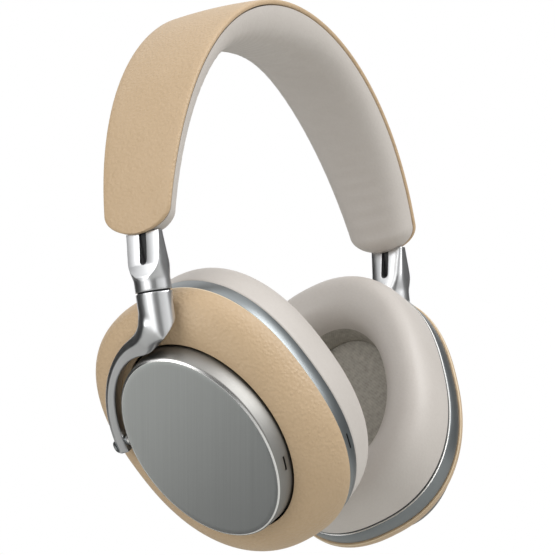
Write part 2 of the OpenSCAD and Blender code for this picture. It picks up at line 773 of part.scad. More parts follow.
// Drive unit: basket, magnet and cone
basket_h = 4.2;
module driver_basket(side) {
    r = driver_d / 2;
    m = magnet_d / 2;
    color(black)
        on_side(side) cup_frame() translate([0, 0, baffle_t]) rotate_extrude()
            polygon([
                [driver_seat - 1, 0], [r, 0], [r, 1.2], [m + 1, basket_h], [m - 3, basket_h],
                [m - 3, basket_h - 1], [m, basket_h - 1], [driver_seat - 1, 0.8]
            ]);
}
module driver_magnet(side) {
    color(steel)
        on_side(side) cup_frame() translate([0, 0, baffle_t + basket_h]) cylinder(d = magnet_d, h = 5);
}
module driver_cone(side) {
    r = driver_seat - seat_gap;
    coil = magnet_d / 2 - 3.5;
    color(mesh_grey)
        on_side(side) cup_frame() rotate_extrude()
            polygon([
                [r, 0.5], [r, 1], [r - 2, 1.3], [coil + 1, 2.9],
                [0, 1.9], [0, 1.4], [coil + 1, 2.4], [r - 2, 0.8]
            ]);
}

// Acoustic fabric in the mouth of the cushion's base
base_t = 1.5;
well_seat = 2.5;
module oval_disc(a, b, z, t) {
    translate([0, 0, z]) linear_extrude(t) polygon(rounded_ring(a, b, 2, oval_count));
}
module acoustic_fabric(side) {
    fabric_t = 0.7;
    edge = well_seat - seat_gap;
    color(mesh_grey)
        on_side(side) cup_frame()
            oval_disc(well_a + edge, well_b + edge, -fabric_t - seat_gap, fabric_t);
}
module cushion_base(side) {
    color(black)
        on_side(side) cup_frame() difference() {
            translate([0, 0, -base_t - seat_gap]) linear_extrude(base_t) polygon(outline(baffle_inset));
            oval_disc(well_a + well_seat, well_b + well_seat, -base_t - 1, base_t + 2);
        }
}

// Ear cushion: an oval ring with a crown, sides drawn in to the seam and a flat back
cushion_foot = -base_t - 2 * seat_gap;
cushion_seam = 0.25;
function cushion_ring(i, count) =
    let (a = 360 * i / count)
    let (c = cos(a))
    let (s = sin(a))
    let (f = 0.5 + 0.5 * sign(c) * pow(abs(c), 0.75))
    let (above = cushion_seam * cushion_t * pow(max(0, s), 0.5))
    let (below = (1 - cushion_seam) * cushion_t * pow(max(0, -s), 0.85))
    let (half_w = lerp(well_a, cup_a + 0.2, f))
    let (half_h = lerp(well_b, cup_b + 0.2, f))
    let (z = cushion_foot - cushion_seam * cushion_t + above - below)
    [for (p = rounded_ring(half_w, half_h, lerp(2.1, cup_n, f), 72)) [p.x, p.y, z]];
module ear_cushion(side) {
    count = 16;
    color(grey_leather)
        on_side(side) cup_frame() skin([for (i = [0:count - 1]) cushion_ring(i, count)], looped = true);
}

// Electronics on the deck, between the screws and under the plate
board_w = 2 * post_at.x;
board_len = 2 * (post_at.y - screw_head_d / 2) - 2.6;
module circuit_board(side) {
    color(board_green)
        on_side(side) cup_frame() slab([board_w, board_len, board_t], deck_top + run_gap);
}
module battery() {
    margin = 4;
    color("#b8bcc0")
        on_side(LEFT) cup_frame()
            slab([board_w - margin, board_len - margin, battery_t], deck_top + board_t + 2 * run_gap);
}

headband_cover();
headband_spring();
headband_core();
headband_pad();
guide_screws();
slider_guide(LEFT);  // slider_guide_left
slider_guide(RIGHT);  // slider_guide_right
slider_arm(LEFT);  // slider_arm_left
slider_arm(RIGHT);  // slider_arm_right
slider_rail(LEFT);  // slider_rail_left
slider_rail(RIGHT);  // slider_rail_right
swivel_pin(LEFT);  // swivel_pin_left
swivel_pin(RIGHT);  // swivel_pin_right
swivel_washer(LEFT);  // swivel_washer_left
swivel_washer(RIGHT);  // swivel_washer_right
yoke(LEFT);  // yoke_left
yoke(RIGHT);  // yoke_right
tilt_pin(LEFT);  // tilt_pin_left
tilt_pin(RIGHT);  // tilt_pin_right
tilt_bush(LEFT);  // tilt_bush_left
tilt_bush(RIGHT);  // tilt_bush_right
cup_shell(LEFT);  // cup_shell_left
cup_shell(RIGHT);  // cup_shell_right
oval_plate(LEFT);  // oval_plate_left
oval_plate(RIGHT);  // oval_plate_right
cup_ring(LEFT);  // cup_ring_left
cup_ring(RIGHT);  // cup_ring_right
chassis(LEFT);  // chassis_left
chassis(RIGHT);  // chassis_right
baffle(LEFT);  // baffle_left
baffle(RIGHT);  // baffle_right
driver_basket(LEFT);  // driver_basket_left
driver_basket(RIGHT);  // driver_basket_right
driver_magnet(LEFT);  // driver_magnet_left
driver_magnet(RIGHT);  // driver_magnet_right
driver_cone(LEFT);  // driver_cone_left
driver_cone(RIGHT);  // driver_cone_right
acoustic_fabric(LEFT);  // acoustic_fabric_left
acoustic_fabric(RIGHT);  // acoustic_fabric_right
cushion_base(LEFT);  // cushion_base_left
cushion_base(RIGHT);  // cushion_base_right
ear_cushion(LEFT);  // ear_cushion_left
ear_cushion(RIGHT);  // ear_cushion_right
circuit_board(LEFT);  // circuit_board_left
circuit_board(RIGHT);  // circuit_board_right
chassis_screws(LEFT);  // chassis_screws_left
chassis_screws(RIGHT);  // chassis_screws_right
battery();
usb_socket();
volume_up_button();
play_button();
volume_down_button();
quick_button();
power_switch();
status_light();
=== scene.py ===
# %% [markdown]
# # Over-ear headphones
# These headphones have a leather-covered headband with a padded lining, two arms that slide out of it, two
# cast yokes that swivel on the arms, and two oval ear cups that tilt in the yokes. The solids of the frame
# carry the sizes and the motion. This lesson dresses them: each soft or cast piece is rebuilt as a smooth
# mesh in the same place, and each surface gets a finish.

# %% Load the frame
import json
import math
import bmesh
import bpy
from mathutils import Matrix, Vector


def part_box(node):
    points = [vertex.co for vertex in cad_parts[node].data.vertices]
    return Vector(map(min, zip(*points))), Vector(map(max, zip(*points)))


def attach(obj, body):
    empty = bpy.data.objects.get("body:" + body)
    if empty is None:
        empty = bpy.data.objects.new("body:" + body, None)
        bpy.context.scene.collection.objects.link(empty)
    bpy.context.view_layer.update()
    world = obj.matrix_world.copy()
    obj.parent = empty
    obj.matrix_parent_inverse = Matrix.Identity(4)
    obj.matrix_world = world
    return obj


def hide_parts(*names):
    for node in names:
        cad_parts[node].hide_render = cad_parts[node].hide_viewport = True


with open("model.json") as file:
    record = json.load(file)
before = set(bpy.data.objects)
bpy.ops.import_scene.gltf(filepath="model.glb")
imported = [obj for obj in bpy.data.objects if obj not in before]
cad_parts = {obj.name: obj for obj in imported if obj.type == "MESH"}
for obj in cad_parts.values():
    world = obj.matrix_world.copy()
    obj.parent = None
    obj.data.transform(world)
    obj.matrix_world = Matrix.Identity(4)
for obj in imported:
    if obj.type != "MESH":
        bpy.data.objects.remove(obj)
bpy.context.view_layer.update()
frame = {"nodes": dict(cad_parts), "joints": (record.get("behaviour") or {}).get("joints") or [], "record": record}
record = frame["record"]
joint = {j["name"]: j for j in frame["joints"]}
mount = {m["name"]: m for m in record["mounts"]}
MM = 0.001

# %% [markdown]
# ## The camera
# The photograph was taken with a long lens, a little below the middle of the object, looking up at it and
# rolled slightly. A camera is a point and three directions, so the view is set from three angles and a
# distance, and the lens follows from the focal length in pixels.

# %% Camera
IMAGE_PX = 555
FOCAL_PX = 4696
VIEW_TURN, VIEW_RISE, VIEW_ROLL = (math.radians(v) for v in (-60.53, -6.05, -7.21))
VIEW_TARGET = Vector((2.71, 0, -78.76)) * MM
VIEW_DISTANCE = 1.597

view_back = Vector((
    math.sin(VIEW_TURN) * math.cos(VIEW_RISE),
    -math.cos(VIEW_TURN) * math.cos(VIEW_RISE),
    math.sin(VIEW_RISE),
))
level = Vector((math.cos(VIEW_TURN), math.sin(VIEW_TURN), 0))
plumb = view_back.cross(level)
view_right = level * math.cos(VIEW_ROLL) + plumb * math.sin(VIEW_ROLL)
view_up = plumb * math.cos(VIEW_ROLL) - level * math.sin(VIEW_ROLL)
camera = bpy.data.objects.new("camera", bpy.data.cameras.new("camera"))
bpy.context.scene.collection.objects.link(camera)
camera.data.lens = FOCAL_PX / IMAGE_PX * camera.data.sensor_width
turned = Matrix((view_right, view_up, view_back)).transposed().to_4x4()
camera.matrix_world = Matrix.Translation(VIEW_TARGET + VIEW_DISTANCE * view_back) @ turned
bpy.context.scene.camera = camera
print("lens", round(camera.data.lens, 1), "mm")

# %% [markdown]
# ## Colours and nodes
# Colours are easiest to read as the hex values of a paint chart, but a renderer works in linear light, so
# one function turns one into the other. One more function adds a shader node, sets it and links it, which
# keeps each finish short enough to read as a recipe.

# %% Colour and node helpers
def linear(code):
    """An sRGB hex colour as linear RGBA."""
    parts = [int(code[i:i + 2], 16) / 255 for i in (1, 3, 5)]
    return [c / 12.92 if c <= 0.04045 else ((c + 0.055) / 1.055) ** 2.4 for c in parts] + [1.0]


def add(tree, kind, inputs=None, **settings):
    """Adds a node with its settings, and fills its inputs with values or links."""
    made = tree.nodes.new(kind)
    for key, value in settings.items():
        setattr(made, key, value)
    for key, value in (inputs or {}).items():
        if isinstance(value, bpy.types.NodeSocket):
            tree.links.new(value, made.inputs[key])
        else:
            made.inputs[key].default_value = value
    return made


def per_mm(size):
    """The scale of a pattern whose repeat is size millimetres."""
    return 1 / (size * MM)


def new_finish(name, **sockets):
    """An empty material: its tree, its surface shader and the place on the object."""
    made = bpy.data.materials.new(name)
    made.use_nodes = True
    shader = made.node_tree.nodes["Principled BSDF"]
    for key, value in sockets.items():
        shader.inputs[key.replace("_", " ")].default_value = value
    place = add(made.node_tree, "ShaderNodeTexCoord").outputs["Object"]
    return made, made.node_tree, shader, place


print("tan leather in linear light:", [round(c, 3) for c in linear("#CDB392")])

# %% [markdown]
# ## Leather and leatherette
# The headband and the cup shells wear a thin full-grain leather, dyed tan. Hide has small cells with
# shallow creases between them, so a Voronoi pattern gives the creases, and a soft noise lets the dye lie
# unevenly. The lining and the cushions are a polyurethane leatherette: smoother, with a finer pebble and a
# soft gloss.

# %% Leather finishes
GRAIN = 1.0        # width of a cell of the hide, mm
PEBBLE = 0.8       # width of a pebble of the leatherette, mm
DYE_PATCH = 14     # width of a cloud of uneven dye, mm
CREASE_TINT = 0.35     # how far the creases darken
FINE_SHARE = 0.35      # how much fine relief lies on the cells


def hide(name, colour, shade, cell, depth, roughness):
    made, tree, shader, place = new_finish(name, Roughness=roughness, IOR=1.46)
    cells = add(tree, "ShaderNodeTexVoronoi", {"Vector": place, "Scale": per_mm(cell)}, feature="SMOOTH_F1")
    fine = add(tree, "ShaderNodeTexNoise", {"Vector": place, "Scale": per_mm(cell / 3), "Detail": 3.0})
    dye = add(tree, "ShaderNodeTexNoise", {"Vector": place, "Scale": per_mm(DYE_PATCH), "Detail": 4.0})
    mixed = add(tree, "ShaderNodeMix", {0: dye.outputs["Fac"], 6: linear(shade), 7: linear(colour)},
                data_type="RGBA")
    low = add(tree, "ShaderNodeMix", {0: cells.outputs["Distance"], 6: linear(colour), 7: linear(shade)},
              data_type="RGBA")
    worn = add(tree, "ShaderNodeMix", {0: CREASE_TINT, 6: mixed.outputs[2], 7: low.outputs[2]},
               data_type="RGBA")
    height = add(tree, "ShaderNodeMath", {
        0: fine.outputs["Fac"], 1: FINE_SHARE, 2: cells.outputs["Distance"]}, operation="MULTIPLY_ADD")
    bump = add(tree, "ShaderNodeBump", {"Height": height.outputs[0], "Distance": depth * MM, "Strength": 0.6},
               invert=True)
    tree.links.new(worn.outputs[2], shader.inputs["Base Color"])
    tree.links.new(bump.outputs["Normal"], shader.inputs["Normal"])
    return made


tan_leather = hide("tan_full_grain_leather", "#CDB392", "#C0A582", GRAIN, 0.4, 0.46)
# The rolled rim's lighter leather is a painted highlight, where the edge catches the light.
painted_highlight_rim_leather = hide("leather_rim_painted_highlight", "#EBD9BC", "#DEC9A6", GRAIN, 0.05, 0.4)
grey_leatherette = hide("warm_grey_leatherette", "#D0CAC4", "#C4BDB6", PEBBLE, 0.05, 0.46)
print("leathers:", tan_leather.name, painted_highlight_rim_leather.name, grey_leatherette.name)

# %% [markdown]
# ## Metals
# The arms and yokes are die-cast aluminium with an even satin surface, so they show the room only as soft
# bands of light. The oval plate is a turned aluminium cap: its face is brushed in one direction, which
# leaves fine parallel lines, its wall is satin and its chamfer is cut bright with a diamond tool. Steel
# pins and screws are plain and a little darker.

# %% Metal finishes
BRUSH_LINE = 0.35      # spacing of the brush lines, drawn coarser than real so that they show, mm
BRUSH_LENGTH = 60      # length of a brush line, mm
BRUSH_DEPTH = 0.01     # depth of a brush line, mm
BRUSH_SPREAD = 0.06    # how far the roughness varies from line to line


def metal(name, colour, roughness, mottle, mottle_size):
    made, tree, shader, place = new_finish(name, Metallic=1.0)
    shader.inputs["Base Color"].default_value = linear(colour)
    spots = add(tree, "ShaderNodeTexNoise", {"Vector": place, "Scale": per_mm(mottle_size), "Detail": 3.0})
    spread = add(tree, "ShaderNodeMapRange", {
        "Value": spots.outputs["Fac"], "To Min": roughness - mottle, "To Max": roughness + mottle})
    tree.links.new(spread.outputs["Result"], shader.inputs["Roughness"])
    return made


def brushed(name, colour, shade, roughness, along):
    """Brushed metal: along is the direction of the lines."""
    made, tree, shader, place = new_finish(name, Metallic=1.0)
    across = along.cross(Vector((0, 0, 1)) if abs(along.z) < 0.9 else Vector((0, 1, 0))).normalized()
    third = along.cross(across)
    dots = []
    for way, size in ((along, BRUSH_LENGTH), (across, BRUSH_LINE), (third, BRUSH_LINE)):
        dot = add(tree, "ShaderNodeVectorMath", {0: place, 1: way * per_mm(size)}, operation="DOT_PRODUCT")
        dots.append(dot.outputs["Value"])
    drawn = add(tree, "ShaderNodeCombineXYZ", {"X": dots[0], "Y": dots[1], "Z": dots[2]})
    lines = add(tree, "ShaderNodeTexNoise", {"Vector": drawn.outputs[0], "Scale": 1.0, "Detail": 2.0})
    tone = add(tree, "ShaderNodeMix", {0: lines.outputs["Fac"], 6: linear(shade), 7: linear(colour)},
               data_type="RGBA")
    spread = add(tree, "ShaderNodeMapRange", {
        "Value": lines.outputs["Fac"],
        "To Min": roughness - BRUSH_SPREAD, "To Max": roughness + BRUSH_SPREAD})
    bump = add(tree, "ShaderNodeBump", {
        "Height": lines.outputs["Fac"], "Distance": BRUSH_DEPTH * MM, "Strength": 0.5})
    tree.links.new(tone.outputs[2], shader.inputs["Base Color"])
    tree.links.new(spread.outputs["Result"], shader.inputs["Roughness"])
    tree.links.new(bump.outputs["Normal"], shader.inputs["Normal"])
    return made


cast_aluminium = metal("satin_die_cast_aluminium", "#CDCECF", 0.31, 0.02, 6)
satin_aluminium = metal("satin_turned_aluminium", "#8E8D8A", 0.46, 0.03, 4)
bright_aluminium = metal("diamond_cut_aluminium", "#EFEFED", 0.24, 0.02, 4)
plain_steel = metal("plain_steel", "#9FA2A4", 0.3, 0.05, 2)
pouch_foil = metal("pouch_foil", "#B9BDC2", 0.35, 0.08, 3)
metals = (cast_aluminium, satin_aluminium, bright_aluminium, plain_steel, pouch_foil)
print("metals:", [m.name for m in metals])

# %% [markdown]
# ## Mouldings, cloth and boards
# The ring round each cup is moulded in ABS with a metallic grey lacquer. Hidden mouldings are plain black
# ABS with the faint texture of a spark-eroded tool. The acoustic cloth is a plain weave, drawn with two
# sets of threads at right angles, and the boards are glass-filled laminate under green solder resist.

# %% Mouldings, cloth and boards
MOULD_GRIT = 0.25      # texture of the mould, mm
MOULD_DRIFT, MOULD_SHADE = 9, 0.88       # width of a cloud of tone in a moulding, mm, and how dark it gets
THREAD = 0.9           # thread spacing of the acoustic cloth, drawn coarser than real so that it shows, mm
FLUFF = 1.6            # width of the cloth's fluff, mm
THREAD_SHARE = 0.12    # how far the threads stand out of the fluff
CLOTH_DEPTH = 0.2      # depth of the cloth's relief, mm
TRACK_PITCH = 6        # spacing of the tracks on a board, mm


def moulding(name, colour, roughness, metallic=0.0, depth=0.008):
    made, tree, shader, place = new_finish(name, Roughness=roughness, Metallic=metallic)
    grit = add(tree, "ShaderNodeTexNoise", {"Vector": place, "Scale": per_mm(MOULD_GRIT), "Detail": 2.0})
    drift = add(tree, "ShaderNodeTexNoise", {"Vector": place, "Scale": per_mm(MOULD_DRIFT), "Detail": 2.0})
    dark = [c * MOULD_SHADE for c in linear(colour)[:3]] + [1.0]
    tone = add(tree, "ShaderNodeMix", {0: drift.outputs["Fac"], 6: dark, 7: linear(colour)}, data_type="RGBA")
    bump = add(tree, "ShaderNodeBump", {
        "Height": grit.outputs["Fac"], "Distance": depth * MM, "Strength": 0.6})
    tree.links.new(tone.outputs[2], shader.inputs["Base Color"])
    tree.links.new(bump.outputs["Normal"], shader.inputs["Normal"])
    return made


def weave(name, thread, gap, way_a, way_b):
    """Plain weave whose threads run along two directions."""
    made, tree, shader, place = new_finish(name, Roughness=0.9)
    waves = []
    for way in (way_a, way_b):
        dot = add(tree, "ShaderNodeVectorMath", {0: place, 1: way * per_mm(THREAD) * math.tau},
                  operation="DOT_PRODUCT")
        waves.append(add(tree, "ShaderNodeMath", {0: dot.outputs["Value"]}, operation="SINE").outputs[0])
    cross = add(tree, "ShaderNodeMath", {0: waves[0], 1: waves[1]}, operation="MULTIPLY")
    fluff = add(tree, "ShaderNodeTexNoise", {"Vector": place, "Scale": per_mm(FLUFF), "Detail": 4.0})
    height = add(tree, "ShaderNodeMath", {0: cross.outputs[0], 1: THREAD_SHARE, 2: fluff.outputs["Fac"]},
                 operation="MULTIPLY_ADD")
    tone = add(tree, "ShaderNodeMix", {0: height.outputs[0], 6: linear(gap), 7: linear(thread)},
               data_type="RGBA")
    bump = add(tree, "ShaderNodeBump", {
        "Height": height.outputs[0], "Distance": CLOTH_DEPTH * MM, "Strength": 0.7})
    tree.links.new(tone.outputs[2], shader.inputs["Base Color"])
    tree.links.new(bump.outputs["Normal"], shader.inputs["Normal"])
    return made


def laminate(name, resist, track):
    made, tree, shader, place = new_finish(name, Roughness=0.35)
    tracks = add(tree, "ShaderNodeTexBrick", {
        "Vector": place, "Scale": per_mm(TRACK_PITCH), "Mortar Size": 0.03, "Color1": linear(resist),
        "Color2": linear(resist), "Mortar": linear(track)})
    tree.links.new(tracks.outputs["Color"], shader.inputs["Base Color"])
    return made


ring_lacquer = moulding("lacquered_abs_grey", "#8A8F91", 0.36, metallic=0.9)
black_abs = moulding("black_abs", "#1D1E20", 0.5, depth=0.02)
black_nylon = moulding("black_nylon", "#161617", 0.6, depth=0.02)
frosted_pipe = moulding("frosted_polycarbonate", "#E8E8E4", 0.4)
pressed_fibre = moulding("pressed_cellulose_fibre", "#8A857C", 0.8, depth=0.05)
resist_board = laminate("solder_resist_laminate", "#2A5A42", "#3E7A5A")
print("mouldings:", ring_lacquer.name, black_abs.name, black_nylon.name)

# %% [markdown]
# ## Building smooth meshes
# Most pieces here are lofts: a row of outlines, each joined to the next by a band of faces. A right-hand
# piece is built once and its twin is the mirror image across the middle plane, with its faces turned round
# so that they still look outwards. Booleans cut slots and openings afterwards, and are applied at once.

# %% Mesh helpers
def finished(name, mesh, *finishes):
    """An object for a mesh, smooth, with its materials, in the scene."""
    for made in finishes:
        mesh.materials.append(made)
    mesh.shade_smooth()
    piece = bpy.data.objects.new(name, mesh)
    bpy.context.scene.collection.objects.link(piece)
    return piece


def loft(name, rings, *finishes, looped=False):
    """A closed mesh through rings of points; a looped one joins its last ring to the first."""
    count = len(rings[0])
    faces = []
    for i in range(len(rings) if looped else len(rings) - 1):
        near, far = i * count, (i + 1) % len(rings) * count
        for k in range(count):
            n = (k + 1) % count
            faces.append((near + k, near + n, far + n, far + k))
    if not looped:
        faces.append(tuple(reversed(range(count))))
        faces.append(tuple(range((len(rings) - 1) * count, len(rings) * count)))
    mesh = bpy.data.meshes.new(name)
    mesh.from_pydata([tuple(p) for ring in rings for p in ring], [], faces)
    work = bmesh.new()
    work.from_mesh(mesh)
    bmesh.ops.recalc_face_normals(work, faces=work.faces)
    work.to_mesh(mesh)
    work.free()
    return finished(name, mesh, *finishes)


def settle(piece):
    """Applies the modifiers of a piece to its mesh."""
    bpy.context.view_layer.update()
    done = bpy.data.meshes.new_from_object(piece.evaluated_get(bpy.context.evaluated_depsgraph_get()))
    piece.modifiers.clear()
    piece.data = done


def cut(piece, *tools, how="DIFFERENCE"):
    """Cuts tools out of a piece, or joins them to it, and removes them."""
    for tool in tools:
        change = piece.modifiers.new("cut", "BOOLEAN")
        change.object = tool
        change.solver = "EXACT"
        change.operation = how
        settle(piece)
        bpy.data.objects.remove(tool)


def sharpen(piece, degrees):
    piece.data.shade_smooth()
    piece.data.set_sharp_from_angle(angle=math.radians(degrees))


def ease_edges(piece, width, degrees=35, segments=3):
    """Rounds the sharp edges of a piece by a width in millimetres."""
    change = piece.modifiers.new("eased", "BEVEL")
    change.width = width * MM
    change.segments = segments
    change.limit_method = "ANGLE"
    change.angle_limit = math.radians(degrees)
    settle(piece)


def twin(piece, name):
    """The mirror image of a right-hand piece."""
    mesh = piece.data.copy()
    mesh.transform(Matrix.Scale(-1, 4, Vector((1, 0, 0))))
    mesh.flip_normals()
    made = bpy.data.objects.new(name, mesh)
    bpy.context.scene.collection.objects.link(made)
    return made


slot_of = {s["node"]: s["material_slot"] for s in record["subparts"]}
body_of = {n: b for b, nodes in record["behaviour"]["bodies"].items() for n in nodes}


def stands_for(piece, node):
    """A piece takes the place of a node, on its body."""
    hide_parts(node)
    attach(piece, body_of[node])


def place_pair(piece, stem):
    """Puts a right-hand piece and its twin in place of a pair of nodes."""
    other = twin(piece, piece.name.replace("_right", "_left"))
    stands_for(piece, stem + "_right")
    stands_for(other, stem + "_left")
    print(piece.name, len(piece.data.polygons), "faces, and its twin")
    return other


def lerp(a, b, f):
    return a + (b - a) * f


def ease(f):
    return f * f * (3 - 2 * f)


def clamp(f):
    return min(1.0, max(0.0, f))


def outline(a, b, n, count):
    """Points between an ellipse, n = 2, and a rounded rectangle."""
    made = []
    for k in range(count):
        c, s = math.cos(math.tau * k / count), math.sin(math.tau * k / count)
        made.append((math.copysign(a * abs(c) ** (2 / n), c), math.copysign(b * abs(s) ** (2 / n), s)))
    return made


# %% [markdown]
# ## The headband's arch
# The arch is part of an ellipse. A point on it is a turn from the crown, a place across the band and a
# depth below the edge of the cover. The band narrows towards its ends and each end is rounded, so the
# stations along it crowd together where the width changes fastest.

# %% Arch
ARCH_HALF_W, ARCH_RISE, BAND_END = 88, 103, 22
BAND_TOP_W, BAND_END_W, BAND_TIP = 33, 24, 7.5
COVER_T, COVER_CROWN = 1.8, 0.8
PAD_FLOOR, PAD_T, PAD_LEG_T = 8.24, 6, 2.6
SPRING_Z = PAD_FLOOR + PAD_T - ARCH_RISE


def on_arch(turn, across, depth):
    normal = Vector((ARCH_RISE * math.sin(turn), 0, ARCH_HALF_W * math.cos(turn))).normalized()
    base = Vector((ARCH_HALF_W * math.sin(turn), across, ARCH_RISE * math.cos(turn) + SPRING_Z))
    return (base - depth * normal) * MM


def turn_at(above):
    """The turn at which the arch stands so high above the ends of the band."""
    return math.acos((BAND_END + above) / ARCH_RISE)


def height_above(turn):
    """How high the arch stands above the ends of the band at a turn."""
    return ARCH_RISE * math.cos(turn) - BAND_END


def band_width(turn):
    climb = math.pi / 2 * max(0, height_above(turn)) / (ARCH_RISE - BAND_END)
    return lerp(BAND_END_W, BAND_TOP_W, math.sin(climb))


def stations(main, tip, last):
    """Turn, half width and share of the tip, from one end of the band to the other."""
    half = [(turn_at(BAND_TIP) * i / main, 0.0) for i in range(main + 1)]
    shares = [math.sin(math.pi / 2 * last * (i + 1) / tip) for i in range(tip)]
    half += [(turn_at(BAND_TIP * (1 - s)), s) for s in shares]
    rows = [(-t, s) for t, s in reversed(half[1:])] + half
    made = []
    for turn, share in rows:
        made.append((turn, band_width(turn) / 2 * math.sqrt(1 - share * share), share))
    return made


print("arch from", round(math.degrees(-turn_at(0)), 1), "to", round(math.degrees(turn_at(0)), 1), "degrees")

# %% [markdown]
# ## The leather cover
# The cover is a stiff shell wrapped in leather, slightly crowned, with the leather turned under at its
# edges. It could be a solidified strip, but a loft of closed sections lets the edge be rounded as turned
# leather is.

# %% Leather cover
COVER_ROWS = 14
EDGE_ROUND = 0.8
EDGE_STEPS = 8
LEAST_FLAT = 0.05      # what is left of the flat at the very tip, mm


def cover_section(half_w):
    crown = COVER_CROWN * (2 * half_w / BAND_TOP_W) ** 2
    flat = max(half_w - EDGE_ROUND, LEAST_FLAT)
    rows = [flat * (2 * i / COVER_ROWS - 1) for i in range(COVER_ROWS + 1)]
    top = [(y, -crown * (1 - (y / half_w) ** 2)) for y in rows]
    bottom = [(y, COVER_T - crown * (1 - (y / half_w) ** 2)) for y in reversed(rows)]
    middle = COVER_T / 2
    arc = [math.pi * (i + 1) / EDGE_STEPS - math.pi / 2 for i in range(EDGE_STEPS - 1)]
    bend = min(EDGE_ROUND, half_w - flat)
    right = [(flat + bend * math.cos(a), middle + middle * math.sin(a)) for a in arc]
    left = [(-y, z) for y, z in reversed(right)]
    return top + right + bottom + left


cover = loft(
    "headband_leather",
    [[on_arch(t, y, d) for y, d in cover_section(w)] for t, w, s in stations(60, 14, 0.97)],
    tan_leather,
)
stands_for(cover, "headband_cover")
print("cover:", len(cover.data.polygons), "faces")

# %% [markdown]
# ## The padded lining
# The lining is foam under leatherette. It stands out of the cover as a soft crown, swells under the top of
# the arch, where it rests on the head, and closes round the arm at each end. A cloth simulation suits a
# free cushion, but this strip is thin and glued down all along, so it is lofted, with shallow puckers
# across it where the leatherette bends. A channel for the core and a slot for each arm's tang are cut out
# of it.

# %% Padded lining
PAD_INSET = 0.5
PAD_TOP = 2.1          # depth at which the lining starts, under the cover, mm
PAD_ROWS = 28
SWELL_TURN = math.radians(34)
PUCKER = 0.18          # height of the puckers, mm
PUCKER_PITCH = 5.5     # spacing of the puckers along the arch, mm
PUCKER_DRIFT, PUCKER_WAVES = 2.1, 7      # how far and how often the puckers wander along the arch
PUCKER_BOW = 1.7       # how far they bow across it
PAD_END, PAD_ROLL = 2.6, 3               # how full the ends and the edges are
PAD_END_LEAST = 0.12   # share of the depth that is left at the tip
PAD_TIP, PAD_BACK = 0.2, 0.98        # least half width at the tip, mm, and the share of the width at the back


def pad_depth(across, share, turn):
    """How deep the lining lies at a place across it, from -1 to 1."""
    end = math.sqrt(max(0.0, 1 - share ** PAD_END))
    swell = math.cos(math.pi / 2 * min(1, abs(turn) / SWELL_TURN)) ** 2
    deep = PAD_FLOOR + lerp(PAD_LEG_T, PAD_T, swell) - PAD_TOP
    roll = math.sqrt(max(0.0, 1 - abs(across) ** PAD_ROLL))
    run = turn * (ARCH_HALF_W + ARCH_RISE) / 2
    wander = PUCKER_DRIFT * math.sin(PUCKER_WAVES * turn) + PUCKER_BOW * across * across
    pucker = PUCKER * math.sin(math.tau * run / PUCKER_PITCH + wander)
    return PAD_TOP + deep * roll * lerp(PAD_END_LEAST, 1, end) - pucker * (1 - across * across) * end


def pad_section(turn, half_w, share):
    w = max(half_w - PAD_INSET, PAD_TIP)
    rows = [-math.cos(math.pi * i / PAD_ROWS) for i in range(PAD_ROWS + 1)]
    under = [(w * y, pad_depth(y, share, turn)) for y in rows]
    top = [(PAD_BACK * w * y, PAD_TOP) for y in reversed(rows)]
    return under + top


lining = loft(
    "headband_lining",
    [[on_arch(t, y, d) for y, d in pad_section(t, w, s)] for t, w, s in stations(90, 16, 0.99)],
    grey_leatherette,
)
print("lining before cutting:", len(lining.data.polygons), "faces")

# %% Channel for the core and slots for the tangs
CHANNEL_END = 4.5      # wall left at each end of the lining, mm
CHANNEL_STEPS = 40
CHANNEL_WALL, CHANNEL_TOP, CHANNEL_FLARE = 1.2, 1.0, 0.74      # side wall and top, mm, and the floor's share
TANG_SLOT = (30, 8.5, 2.9)


def channel_section(half_w):
    top = half_w - PAD_INSET - CHANNEL_WALL
    floor = CHANNEL_FLARE * top
    return [(-top, CHANNEL_TOP), (-floor, PAD_FLOOR), (floor, PAD_FLOOR), (top, CHANNEL_TOP)]


reach = turn_at(CHANNEL_END)
channel_turns = [reach * (i / CHANNEL_STEPS - 1) for i in range(2 * CHANNEL_STEPS + 1)]
channel_rings = []
for t in channel_turns:
    tip = clamp(1 - height_above(t) / BAND_TIP)
    half_w = band_width(t) / 2 * math.sqrt(1 - tip * tip)
    channel_rings.append([on_arch(t, y, d) for y, d in channel_section(half_w)])
channel = loft("channel", channel_rings)


def bar(name, middle, along, flat, size):
    """A box of size along, across flat and across both, in millimetres, for cutting."""
    third = along.cross(flat)
    half = [v * MM / 2 for v in size]
    corners = ((-1, -1), (1, -1), (1, 1), (-1, 1))
    rings = []
    for end in (-1, 1):
        spot = middle + along * half[0] * end
        rings.append([spot + flat * half[1] * a + third * half[2] * b for a, b in corners])
    return loft(name, rings)


tang_slots = []
for side in ("right", "left"):
    way = Vector(joint[side + "_slide"]["axis"])
    low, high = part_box("slider_guide_" + side)
    seat = (low + high) / 2
    seat += way * (TANG_SLOT[0] / 2) * MM
    tang_slots.append(bar("tang_slot", seat, way, Vector((0, 1, 0)), TANG_SLOT))
cut(lining, channel, *tang_slots)
sharpen(lining, 50)
stands_for(lining, "headband_pad")
print("lining:", len(lining.data.polygons), "faces")

# %% [markdown]
# ## The sliding arms
# Each arm is a casting: round where it meets the swivel, then a bar whose outer face is scooped flat by a
# large cutter, so the scoop ends in a U. A slot runs down the flat and holds a dark rail. The loft gives
# the round foot and the thinning back, a big cylinder makes the scoop, and a narrow tool cuts the slot, as
# on the real piece. Points that the cuts leave doubled are merged.

